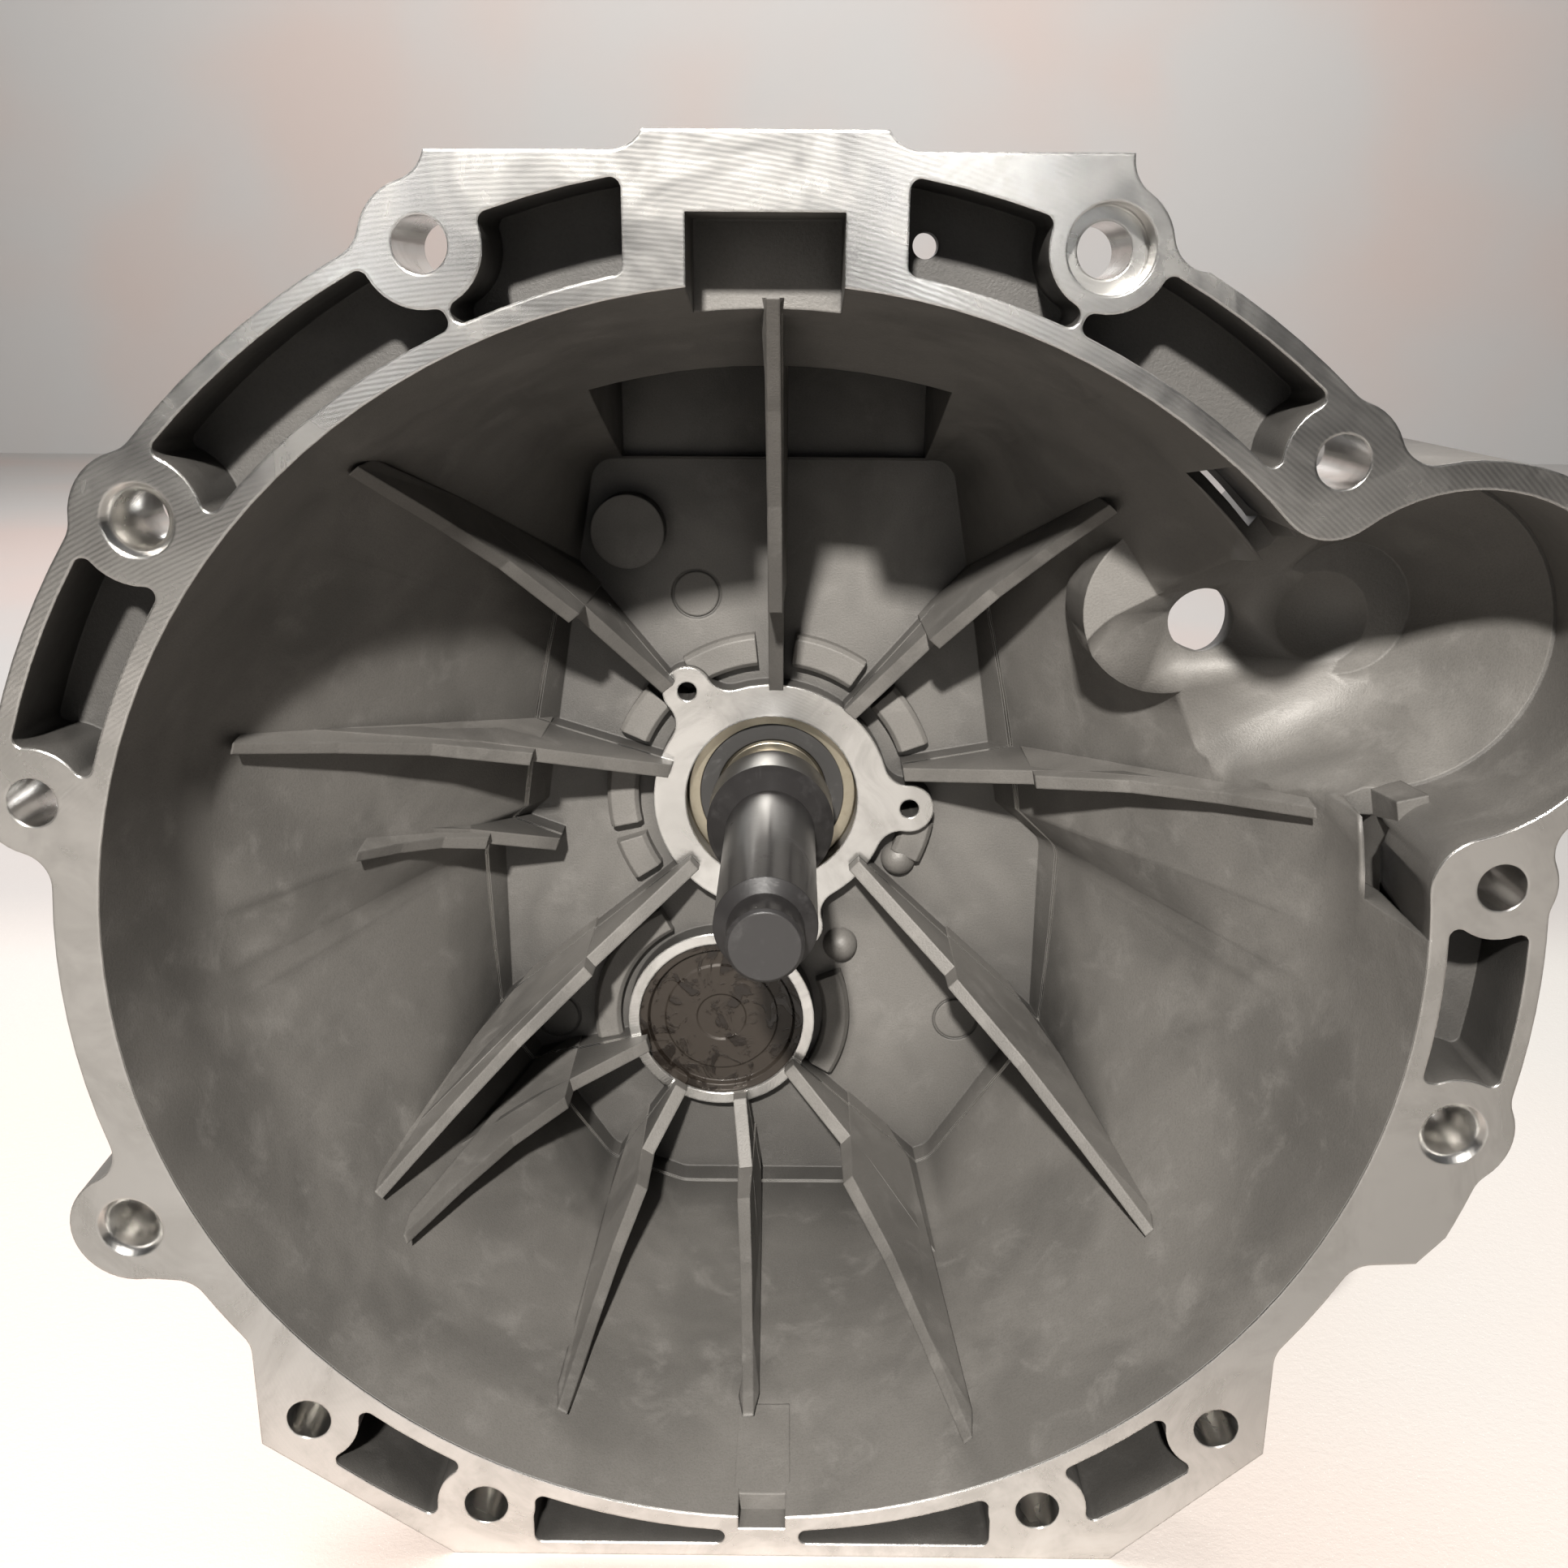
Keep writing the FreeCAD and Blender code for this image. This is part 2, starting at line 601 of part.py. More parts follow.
def gear_case():
    shell, flange = size("case_shell"), size("case_flange")
    rear_wall = CASE_BACK - size("case_rear_wall")
    foot_rise = size("flange_foot") - size("wall_bottom") - 4.0
    outer = fused("case_outer", [
        extruded("case_front_joint", bell_rear_outline(), flange, WALL_BACK),
        extruded("case_barrel", wall_outline(shell), size("case_length"), WALL_BACK),
        extruded("case_rear_joint", rear_joint_outline(), flange, CASE_BACK - flange),
        block("case_foot_left", plain(34), plain(26), foot_rise, x=-52.0, y=CASE_BACK - 30.0, z=-size("flange_foot")),
        block("case_foot_right", plain(34), plain(26), foot_rise, x=18.0, y=CASE_BACK - 30.0, z=-size("flange_foot")),
        block("cover_seat", plain(116), plain(150), plain(14), x=-58.0, y=WALL_BACK + 40.0, z=size("wall_top") - 1.0),
        cylinder("drain_boss", plain(17), plain(12), x=0.0, y=WALL_BACK + 110.0, z=-size("wall_bottom") - 14.0,
                 rotation=UPRIGHT),
        cylinder("filler_boss", plain(17), plain(14), x=size("wall_lower_half_width") - 1.0, y=WALL_BACK + 110.0,
                 z=-60.0, rotation=ALONG_X),
    ] + [extruded(f"case_rib_{number}", wall_outline(shell + 6.0), size("outer_rib_thickness"),
                  WALL_BACK + 52.0 + number * 42.0) for number in range(4)])
    x, z = LAYSHAFT_X, LAYSHAFT_Z
    holes = [
        extruded("case_cavity", wall_outline(), size("case_length") - size("case_rear_wall") + 1.0, WALL_BACK - 1.0),
        block("cover_opening", plain(84), plain(118), plain(40), x=-42.0, y=WALL_BACK + 56.0, z=size("wall_top") - 20.0),
        cylinder("main_bearing_seat", size("main_bearing_radius"), size("case_rear_wall") + 2.0, y=rear_wall - 1.0),
        cylinder("layshaft_rear_seat", size("layshaft_bearing_radius"), size("case_rear_wall") + 2.0,
                 x=x, y=rear_wall - 1.0, z=z),
        cylinder("drain_hole", plain(9.1), plain(40), x=0.0, y=WALL_BACK + 110.0, z=-size("wall_bottom") - 20.0,
                 rotation=UPRIGHT),
        cylinder("filler_hole", plain(9.1), plain(60), x=size("wall_lower_half_width") - 20.0, y=WALL_BACK + 110.0,
                 z=-60.0, rotation=ALONG_X),
    ]
    for side in (-1, 1):
        holes.append(cylinder(f"case_rail_hole_{side}", size("selector_rail_radius") + 0.1,
                              size("case_rear_wall") + 2.0, x=side * 20.0, y=rear_wall - 1.0, z=78.0))
    for index, (x, z) in enumerate(joint_bolts()):
        holes.append(cylinder(f"case_joint_hole_{index}", size("case_bolt_radius"), flange + 2.0,
                              x=x, y=WALL_BACK - 1.0, z=z))
    for index, (x, z) in enumerate(rear_bolts()):
        holes.append(cylinder(f"case_rear_hole_{index}", size("case_bolt_radius"), flange + 2.0,
                              x=x, y=CASE_BACK - flange - 1.0, z=z))
    return cut("gear_case", outer, holes)


def rear_mouth_outline(growth=0.0):
    """Outline of the rear housing where it meets the case: round the main bearing and the layshaft bearing."""
    half, low = float(size("rear_mouth_half_width")), -float(size("gear_centres")) - 44
    corners = [(half * 0.7, half), (half, half * 0.5), (half, -half * 0.9), (half * 0.62, low),
               (-half * 0.95, low), (-half * 1.05, -half * 0.9), (-half, half * 0.5), (-half * 0.7, half)]
    face = rounded_polygon(corners, 10)
    return face.makeOffset2D(float(growth)).Faces[0] if growth else face


def rear_joint_outline():
    rear = rear_mouth_outline(size("case_flange_rim") + size("rear_shell"))
    return joined([rear, wall_outline(size("case_shell"))])


def rear_bolts(count=11):
    path = rear_mouth_outline(size("rear_shell") + size("case_flange_rim") * 0.5).OuterWire
    return [(point.x, point.z) for point in path.discretize(Number=count)[:-1]]


def rear_housing():
    flange, shell, nose = size("case_flange"), size("rear_shell"), size("rear_nose_radius")
    taper = size("rear_length") - 50.0
    outline = rear_mouth_outline(shell)
    outer = fused("rear_outer", [
        extruded("rear_flange", rear_mouth_outline(shell + size("case_flange_rim")), flange, CASE_BACK),
        lofted("rear_taper", outline, nose + 6.0, CASE_BACK + taper, CASE_BACK),
        cylinder("rear_nose", nose + 6.0, size("rear_length") - taper, y=CASE_BACK + taper),
        block("rear_rib", plain(7), taper - 4.0, nose + 20.0, x=-3.5, y=CASE_BACK + 4.0, z=0.0),
        cylinder("speed_sensor_boss", plain(13), plain(30), x=nose - 4.0, y=CASE_BACK + taper + 22.0, z=0.0,
                 rotation=ALONG_X),
    ])
    holes = [
        lofted("rear_cavity", rear_mouth_outline(), nose - 6.0, CASE_BACK + taper, CASE_BACK - 0.01),
        cylinder("rear_bore", nose - 6.0, size("rear_length") - taper - 26.0, y=CASE_BACK + taper - 1.0),
        cylinder("rear_seal_seat", nose - 4.0, plain(13), y=REAR_BACK - 12.0),
        cylinder("rear_shaft_passage", size("main_shaft_radius") + 8.0, plain(60), y=REAR_BACK - 58.0),
        cylinder("speed_sensor_hole", plain(8.1), plain(46), x=nose - 14.0, y=CASE_BACK + taper + 22.0, z=0.0,
                 rotation=ALONG_X),
    ]
    for index, (x, z) in enumerate(rear_bolts()):
        holes.append(cylinder(f"rear_hole_{index}", size("case_bolt_radius"), flange + 2.0,
                              x=x, y=CASE_BACK - 1.0, z=z))
    return cut("rear_housing", outer, holes)


COVER_BOLTS = [(x, y) for x in (-50.0, 50.0) for y in (52.0, 115.0, 178.0)]


def top_cover():
    """Cast lid over the selectors, with a low turret for the gear lever."""
    base_z = size("wall_top") + 13.0
    outer = fused("cover_outer", [
        block("cover_plate", plain(116), plain(150), plain(9), x=-58.0, y=WALL_BACK + 40.0, z=base_z),
        block("cover_roof", plain(80), plain(110), plain(22), x=-40.0, y=WALL_BACK + 60.0, z=base_z),
        cylinder("lever_turret", plain(26), plain(36), y=WALL_BACK + 138.0, z=base_z, rotation=UPRIGHT),
    ])
    holes = [
        block("cover_hollow", plain(68), plain(98), plain(17), x=-34.0, y=WALL_BACK + 66.0, z=base_z - 1.0),
        cylinder("turret_bore", plain(19), plain(60), y=WALL_BACK + 138.0, z=base_z - 1.0, rotation=UPRIGHT),
        cylinder("breather_hole", plain(4), plain(40), x=20.0, y=WALL_BACK + 80.0, z=base_z - 1.0, rotation=UPRIGHT),
    ]
    for index, (x, y) in enumerate(COVER_BOLTS):
        holes.append(cylinder(f"cover_hole_{index}", size("case_bolt_radius"), plain(12), x=x,
                              y=WALL_BACK + y, z=base_z - 1.0, rotation=UPRIGHT))
    return cut("top_cover", outer, holes)


def turret_cap():
    """Pressed cap that closes the lever turret for transport."""
    top = size("wall_top") + 13.0 + 36.0
    cap = fused("turret_cap", [
        cylinder("turret_cap_disc", plain(26), plain(3), y=WALL_BACK + 138.0, z=top, rotation=UPRIGHT),
        cylinder("turret_cap_plug", plain(18.9), plain(6), y=WALL_BACK + 138.0, z=top - 6.0, rotation=UPRIGHT),
    ])
    return cap


# ---------------------------------------------------------------- screws and plugs

def hexagon(radius, x=0.0, z=0.0):
    return polygon([(x + radius * math.cos(math.radians(angle)), z + radius * math.sin(angle * math.pi / 180))
                    for angle in range(0, 360, 60)])


def joint_screws(label, places, head_y, length, head_side):
    """Hexagon screws along Y in one node; head_side is 1 where the heads look to the rear."""
    parts = []
    for index, (x, z) in enumerate(places):
        head_from = head_y if head_side > 0 else head_y - 6.0
        shank_from = head_y - length if head_side > 0 else head_y
        parts.append(extruded(f"{label}_head_{index}", hexagon(float(size("case_bolt_head")), x, z),
                              plain(6), head_from))
        parts.append(cylinder(f"{label}_shank_{index}", size("case_bolt_radius"), length + 0.5,
                              x=x, y=shank_from if head_side > 0 else shank_from - 0.5, z=z))
    return fused(label, parts)


def cover_screws():
    base_z = size("wall_top") + 13.0 + 9.0
    parts = []
    for index, (x, y) in enumerate(COVER_BOLTS):
        parts.append(cylinder(f"cover_screw_head_{index}", plain(7), plain(5), x=x, y=WALL_BACK + y, z=base_z,
                              rotation=UPRIGHT))
        parts.append(cylinder(f"cover_screw_shank_{index}", size("case_bolt_radius"), plain(9), x=x,
                              y=WALL_BACK + y, z=base_z - 8.5, rotation=UPRIGHT))
    return fused("cover_screws", parts)


def plug(label, x, y, z, rotation):
    """A screwed oil plug with a washer face and a round drive; its own Y axis points into the case."""
    profile = [(plain(0), plain(12)), (plain(9), plain(12)), (plain(9), plain(0)), (plain(13), plain(0)),
               (plain(13), plain(-4)), (plain(8), plain(-4)), (plain(8), plain(-10)), (plain(0), plain(-10))]
    return turned(label, profile, x, z, y, rotation)


# ---------------------------------------------------------------- bearings, shafts and gears

def ring(label, inner, outer, start, end, x=0.0, z=0.0, chamfer=0.8):
    profile = [(inner, start), (outer - chamfer, start), (outer, start + chamfer), (outer, end - chamfer),
               (outer - chamfer, end), (inner, end)]
    return turned(label, profile, x, z)


def bearing(label, bore, radius, start, width, x=0.0, z=0.0):
    """A sealed ball bearing: inner ring, outer ring and the shield between them; its balls are closed in."""
    section = (radius - bore) * 0.3
    ring(label + "_inner_ring", bore, bore + section, start, start + width, x, z)
    ring(label + "_outer_ring", radius - section, radius, start, start + width, x, z)
    gap = size("running_gap")
    inner, outer = bore + section + gap, radius - section
    profile = [(inner, start + 1.0), (outer, start + 1.0), (outer, start + width - 1.0), (inner, start + width - 1.0)]
    turned(label + "_shield", profile, x, z)


def tooth_outline(teeth, root, tip, root_share, tip_share, turn):
    """Outline of a toothed wheel with straight flanks; the shares are of the tooth pitch."""
    pitch = 360.0 / teeth
    corners = []
    for tooth in range(teeth):
        centre = turn + tooth * pitch
        for radius, share in ((root, -root_share), (tip, -tip_share), (tip, tip_share), (root, root_share)):
            corners.append(polar(radius, centre + share * pitch / 2))
    return polygon(corners)


def gear_blank(label, teeth, turn, start, x=0.0, z=0.0, width=None):
    """A spur gear of the gearbox's module; turn is the angle of one tooth's middle."""
    module = float(size("module"))
    radius = module * teeth / 2
    thin = float(size("backlash")) / (math.pi * module)
    face = tooth_outline(teeth, radius - 1.25 * module, radius + 0.95 * module, 0.72 - thin, 0.27 - thin, turn)
    item = extruded(label, face, width or size("gear_width"), start)
    item.Base.Placement = Placement(Vector(float(x), float(start), float(z)), UPRIGHT)
    return put_base(item.Base, x, start, z)


def put_base(base, x, y, z):
    put(base, x, y, z)
    return base.InList[0]


# teeth on the input or main shaft and on the layshaft; each pair adds up to the same centre distance
INPUT_PAIR = (24, 36)
THIRD_PAIR = (30, 30)
SECOND_PAIR = (35, 25)
FIRST_PAIR = (39, 21)

INPUT_GEAR_Y = WALL_BACK + 8.0
GEAR_PITCH = size("gear_width") + size("running_gap") * 2.0


def layshaft_turn(teeth_on_layshaft):
    """Tooth angle that puts a layshaft tooth on the line between the two shafts."""
    return float(size("layshaft_angle")) + 180.0


def main_turn(teeth_on_main):
    """Tooth angle that puts a gap of the upper gear on the line between the two shafts."""
    return float(size("layshaft_angle")) + 180.0 / teeth_on_main


def gear_positions():
    """Start of each gear along the shafts."""
    width, travel = size("gear_width"), size("shift_travel")
    hub_space = travel * 2.0 + 16.0
    third = INPUT_GEAR_Y + width + hub_space
    second = third + width + 10.0
    first = second + width + hub_space
    return {"third": third, "second": second, "first": first}


def input_shaft():
    tip, sleeve = size("shaft_tip"), size("sleeve_wall")
    nose, pilot, spline = tip + sleeve, size("pilot_radius"), size("spline_radius")
    seat = size("input_bearing_bore")
    start = size("boss_face") + 8.0
    gear_end = INPUT_GEAR_Y + size("gear_width")
    body = turned("input_shaft_body", [
        (plain(0), nose), (pilot - 1.0, nose), (pilot, nose + 1.0), (pilot, nose + 14.0), (spline - 1.6, nose + 14.0),
        (spline - 1.6, nose + 92.0), (spline, nose + 94.0), (spline, start - 12.0), (seat, start - 10.0),
        (seat, start + size("input_bearing_width")), (seat + 5.0, start + size("input_bearing_width")),
        (seat + 5.0, INPUT_GEAR_Y), (size("main_shaft_radius") + 9.0, INPUT_GEAR_Y),
        (size("main_shaft_radius") + 9.0, gear_end + 4.0), (plain(11), gear_end + 4.0), (plain(11), gear_end - 18.0),
        (plain(0), gear_end - 18.0),
    ])
    splines = extruded("input_splines", tooth_outline(20, float(spline) - 1.7, float(spline), 0.62, 0.4, 0.0),
                       plain(70), nose + 18.0)
    gear = gear_blank("input_gear", INPUT_PAIR[0], main_turn(INPUT_PAIR[0]), INPUT_GEAR_Y)
    pocket = cylinder("input_gear_pocket", plain(11), plain(40), y=gear_end - 18.0)
    return fused("input_shaft", [body, splines, cut("input_gear_rim", gear, [pocket])])


def input_shaft_sleeve():
    """Black plastic transport sleeve pushed over the splines, with a wide skirt at the bearing."""
    tip, wall, gap = size("shaft_tip"), size("sleeve_wall"), 0.1
    pilot, spline = size("pilot_radius"), size("spline_radius")
    collar, face = size("collar_radius"), size("boss_face")
    nose = tip + wall
    return turned("input_shaft_sleeve", [
        (plain(0), tip), (pilot + wall - 1.0, tip), (pilot + wall, tip + 1.0), (pilot + wall, nose + 10.0),
        (spline + wall, nose + 13.0), (spline + wall, face - 38.0), (collar - 1.5, face - 32.0), (collar, face - 30.0),
        (collar, face - 12.0), (collar - 2.4, face - 10.0), (collar - 2.4, face - 3.0), (collar - 4.4, face - 3.0),
        (collar - 4.4, face - 27.0), (spline + gap, face - 32.0), (spline + gap, nose + 14.0), (pilot + gap, nose + 11.0),
        (pilot + gap, nose), (plain(0), nose),
    ])


def layshaft_cap():
    """Pressed cup that closes the layshaft bearing's bore."""
    radius, face = size("layshaft_bearing_radius"), size("ring_face")
    return turned("layshaft_cap", [
        (plain(0), face + 3.0), (plain(9), face + 3.0), (plain(9.6), face + 2.5), (plain(21), face + 2.5),
        (plain(21.6), face + 3.0), (radius - 4.0, face + 3.0), (radius - 3.0, face + 1.2), (radius, face + 1.2),
        (radius, face + 8.0), (radius - 2.0, face + 8.0), (radius - 2.0, face + 5.0), (plain(0), face + 5.0),
    ], LAYSHAFT_X, LAYSHAFT_Z)


def layshaft():
    bore, width = size("layshaft_bearing_bore"), size("layshaft_bearing_width")
    start = size("ring_face") + 9.0
    rear_seat = CASE_BACK - size("case_rear_wall")
    places = gear_positions()
    body = turned("layshaft_body", [
        (plain(0), start), (bore, start), (bore, start + width), (bore + 6.0, start + width),
        (bore + 6.0, rear_seat), (bore, rear_seat), (bore, CASE_BACK), (plain(0), CASE_BACK),
    ], LAYSHAFT_X, LAYSHAFT_Z)
    gears = [gear_blank(f"layshaft_gear_{teeth}", teeth, layshaft_turn(teeth), y, LAYSHAFT_X, LAYSHAFT_Z)
             for teeth, y in ((INPUT_PAIR[1], INPUT_GEAR_Y), (THIRD_PAIR[1], places["third"]),
                              (SECOND_PAIR[1], places["second"]), (FIRST_PAIR[1], places["first"]))]
    return fused("layshaft", [body] + gears)


def free_gear(label, teeth, start, dog_sides):
    """A gear that turns freely on the main shaft, with a dog ring on each side that faces a sleeve."""
    bore = size("main_shaft_radius") + size("running_gap")
    width = size("gear_width")
    rim = gear_blank(label + "_rim", teeth, main_turn(teeth), start)
    dogs = [cylinder(f"{label}_dogs_{side}", size("main_shaft_radius") + 9.0, plain(4),
                     y=start + width if side > 0 else start - 4.0) for side in dog_sides]
    hole = cylinder(label + "_bore", bore, width + 12.0, y=start - 6.0)
    return cut(label, fused(label + "_blank", [rim] + dogs), [hole])


def main_shaft():
    radius, places = size("main_shaft_radius"), gear_positions()
    gap, width = size("running_gap"), size("gear_width")
    front = INPUT_GEAR_Y + width - 17.0
    rear_bearing_y = CASE_BACK - 19.0
    flange_y = REAR_BACK + 2.0
    body = turned("main_shaft_body", [
        (plain(0), front), (plain(10.7), front), (plain(10.7), front + 22.0), (radius, front + 24.0),
        (radius, places["third"] + width + gap), (radius + 7.0, places["third"] + width + gap),
        (radius + 7.0, places["second"] - gap), (radius, places["second"] - gap),
        (radius, places["first"] + width + gap), (radius + 7.0, places["first"] + width + gap),
        (radius + 7.0, rear_bearing_y), (radius, rear_bearing_y), (radius, flange_y + 24.0), (radius - 5.0, flange_y + 24.0),
        (radius - 5.0, flange_y + 38.0), (plain(0), flange_y + 38.0),
    ])
    hubs = []
    for name, centre in sleeve_centres().items():
        hubs.append(cylinder(f"hub_{name}", radius + 9.7, plain(12), y=centre - 6.0))
    return fused("main_shaft", [body] + hubs)


def sleeve_centres():
    """Middle of the space that each shift sleeve moves in."""
    places, width = gear_positions(), size("gear_width")
    half = (size("shift_travel") * 2.0 + 16.0) / 2.0
    return {"direct_third": INPUT_GEAR_Y + width + half, "first_second": places["second"] + width + half}


def shift_sleeve(name, centre):
    inner = size("main_shaft_radius") + 10.0
    return turned("shift_sleeve_" + name, [
        (inner, centre - 7.0), (inner + 9.0, centre - 7.0), (inner + 9.0, centre - 3.0), (inner + 4.0, centre - 3.0),
        (inner + 4.0, centre + 3.0), (inner + 9.0, centre + 3.0), (inner + 9.0, centre + 7.0), (inner, centre + 7.0),
    ])


def shift_fork(name, centre, side):
    """A half-round fork in the sleeve's groove, with an arm up to its rail."""
    groove = float(size("main_shaft_radius")) + 14.4
    rail_x, rail_z = side * 20.0, 78.0
    claw = disc(groove + 9.0).cut(disc(groove)).common(polygon([(-60, 0), (-60, 60), (60, 60), (60, 0)])).Faces[0]
    arm = polygon([(rail_x - 7, groove + 3), (rail_x - 9, rail_z), (rail_x + 9, rail_z), (rail_x + 7, groove + 3)])
    plate = joined([claw, arm, disc(11.5, rail_x, rail_z)])
    plate = plate.cut(disc(groove)).Faces[0]
    web = extruded(f"fork_web_{name}", plate, plain(5), centre - 2.5)
    boss = cylinder(f"fork_boss_{name}", plain(11.5), plain(18), x=rail_x, y=centre - 9.0, z=rail_z)
    hole = cylinder(f"fork_bore_{name}", size("selector_rail_radius"), plain(40), x=rail_x, y=centre - 20.0, z=rail_z)
    return cut("shift_fork_" + name, fused(f"fork_blank_{name}", [web, boss]), [hole])


def selector_rail(name, side):
    start = WALL_BACK - size("shift_travel")
    end = CASE_BACK - size("shift_travel") - 1.5
    return turned("selector_rail_" + name, [
        (plain(0), start), (size("selector_rail_radius"), start), (size("selector_rail_radius"), end), (plain(0), end),
    ], side * 20.0, plain(78))


def output_flange():
    start = REAR_BACK + 2.0
    radius, thickness = size("output_flange_radius"), size("output_flange_thickness")
    shaft, nose = size("main_shaft_radius"), size("rear_nose_radius")
    body = turned("output_flange_body", [
        (shaft, start - 26.0), (nose - 14.0, start - 26.0), (nose - 14.0, start + 8.0), (radius - 1.0, start + 8.0),
        (radius, start + 9.0), (radius, start + 8.0 + thickness), (plain(30), start + 8.0 + thickness),
        (plain(30), start + 14.0), (shaft, start + 14.0),
    ])
    holes = []
    for number in range(4):
        x, z = polar(size("output_bolt_circle_radius"), 45 + number * 90)
        holes.append(cylinder(f"output_hole_{number}", size("output_bolt_hole_radius"), thickness + 2.0,
                              x=x, y=start + 7.0, z=z))
    return cut("output_flange", body, holes)


def output_nut():
    start = REAR_BACK + 2.0 + 14.0
    shaft = float(size("main_shaft_radius"))
    nut = extruded("output_nut_blank", hexagon(shaft + 9.0), plain(10), start)
    return cut("output_nut", nut, [cylinder("output_nut_bore", shaft, plain(20), y=start - 5.0)])


def output_seal():
    nose = size("rear_nose_radius")
    start = REAR_BACK - 12.0
    return turned("output_seal", [
        (nose - 13.95, start + 2.0), (nose - 8.0, start + 2.0), (nose - 8.0, start), (nose - 4.0, start),
        (nose - 4.0, start + 10.0), (nose - 13.95, start + 10.0),
    ])


def breather():
    x, y, z = 20.0, WALL_BACK + 80.0, size("wall_top") + 13.0 + 22.0
    return turned("breather", [
        (plain(0), plain(-10)), (plain(4), plain(-10)), (plain(4), plain(0)), (plain(8), plain(0)),
        (plain(8), plain(8)), (plain(6.5), plain(10)), (plain(0), plain(10)),
    ], x, z, y, Y_TO_Z)


def speed_sensor():
    x, y = size("rear_nose_radius") + 26.0, CASE_BACK + size("rear_length") - 28.0
    return turned("speed_sensor", [
        (plain(0), plain(-24)), (plain(8), plain(-24)), (plain(8), plain(0)), (plain(12), plain(0)),
        (plain(12), plain(5)), (plain(9), plain(5)), (plain(9), plain(24)), (plain(0), plain(24)),
    ], x, plain(0), y, Y_TO_X)


Y_TO_Z = Rotation(Vector(1, 0, 0), 90)
Y_TO_X = Rotation(Vector(0, 0, 1), -90)
Y_FROM_X = Rotation(Vector(0, 0, 1), 90)


# ---------------------------------------------------------------- the whole gearbox

def build():
    bell_housing()
    gear_case()
    rear_housing()
    top_cover()
    turret_cap()
    joint_screws("case_screws", joint_bolts(), WALL_BACK + size("case_flange"), size("case_flange") * 2.0, 1)
    joint_screws("rear_screws", rear_bolts(), CASE_BACK + size("case_flange"), size("case_flange") * 2.0, 1)
    cover_screws()
    plug("drain_plug", 0.0, WALL_BACK + 110.0, -size("wall_bottom") - 14.0, Y_TO_Z)
    plug("filler_plug", size("wall_lower_half_width") + 13.0, WALL_BACK + 110.0, -60.0, Y_FROM_X)
    breather()
    speed_sensor()
    bearing("input_bearing", size("input_bearing_bore"), size("input_bearing_radius"), size("boss_face") + 8.0,
            size("input_bearing_width"))
    bearing("layshaft_front_bearing", size("layshaft_bearing_bore"), size("layshaft_bearing_radius"),
            size("ring_face") + 9.0, size("layshaft_bearing_width"), LAYSHAFT_X, LAYSHAFT_Z)
    bearing("layshaft_rear_bearing", size("layshaft_bearing_bore"), size("layshaft_bearing_radius"),
            CASE_BACK - size("case_rear_wall"), size("layshaft_bearing_width"), LAYSHAFT_X, LAYSHAFT_Z)
    bearing("main_bearing", size("main_shaft_radius"), size("main_bearing_radius"), CASE_BACK - 19.0, plain(18))
    input_shaft()
    input_shaft_sleeve()
    layshaft_cap()
    layshaft()
    main_shaft()
    places = gear_positions()
    free_gear("third_gear", THIRD_PAIR[0], places["third"], (-1,))
    free_gear("second_gear", SECOND_PAIR[0], places["second"], (1,))
    free_gear("first_gear", FIRST_PAIR[0], places["first"], (-1,))
    for side, (name, centre) in zip((-1, 1), sleeve_centres().items()):
        shift_sleeve(name, centre)
        shift_fork(name, centre, side)
        selector_rail(name, side)
    output_flange()
    output_nut()
    output_seal()


NODES = [
    "bell_housing", "gear_case", "rear_housing", "top_cover", "turret_cap", "case_screws", "rear_screws",
    "cover_screws", "drain_plug", "filler_plug", "breather", "speed_sensor", "input_shaft", "input_shaft_sleeve",
    "layshaft_cap", "layshaft", "main_shaft", "third_gear", "second_gear", "first_gear",
    "shift_sleeve_direct_third", "shift_sleeve_first_second", "shift_fork_direct_third", "shift_fork_first_second",
    "selector_rail_direct_third", "selector_rail_first_second", "output_flange", "output_nut", "output_seal",
] + [f"{place}_bearing_{piece}" for place in ("input", "layshaft_front", "layshaft_rear", "main")
     for piece in ("inner_ring", "outer_ring", "shield")]


def check_and_export():
    """Stops on any failed object or shape, then writes one STEP file for each piece."""
    doc.recompute()
    failed = [item.Label for item in doc.Objects if "Invalid" in item.State or "Error" in item.State]
    if failed:
        raise RuntimeError(f"objects that failed: {failed}")
    os.makedirs("parts", exist_ok=True)
    for name in NODES:
        shape = doc.getObject(name).Shape
        if shape.isNull() or not shape.isValid() or not shape.Solids:
            raise RuntimeError(f"{name} has no valid solid")
        print(name, len(shape.Solids), round(shape.Volume))
        shape.exportStep(f"parts/{name}.step")


build()
check_and_export()
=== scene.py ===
import math

import bmesh
import bpy
from mathutils import Matrix, Vector


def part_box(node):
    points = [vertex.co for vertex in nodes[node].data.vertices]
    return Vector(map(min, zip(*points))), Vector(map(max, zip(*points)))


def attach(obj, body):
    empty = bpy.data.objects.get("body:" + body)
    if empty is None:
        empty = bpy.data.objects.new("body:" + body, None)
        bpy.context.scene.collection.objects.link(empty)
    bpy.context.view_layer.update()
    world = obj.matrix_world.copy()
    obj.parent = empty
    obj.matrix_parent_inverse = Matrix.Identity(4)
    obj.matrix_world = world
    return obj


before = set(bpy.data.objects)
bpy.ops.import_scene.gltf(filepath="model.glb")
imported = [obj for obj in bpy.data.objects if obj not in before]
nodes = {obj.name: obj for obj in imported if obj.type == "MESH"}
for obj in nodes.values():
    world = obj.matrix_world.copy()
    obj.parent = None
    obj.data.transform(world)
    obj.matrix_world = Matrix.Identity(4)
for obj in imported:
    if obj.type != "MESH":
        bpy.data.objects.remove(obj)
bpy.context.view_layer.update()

SENSOR_WIDTH = 36.0
LENS = 35.40
CAMERA_PLACE = Vector((0.0069, -0.3751, 0.1689))
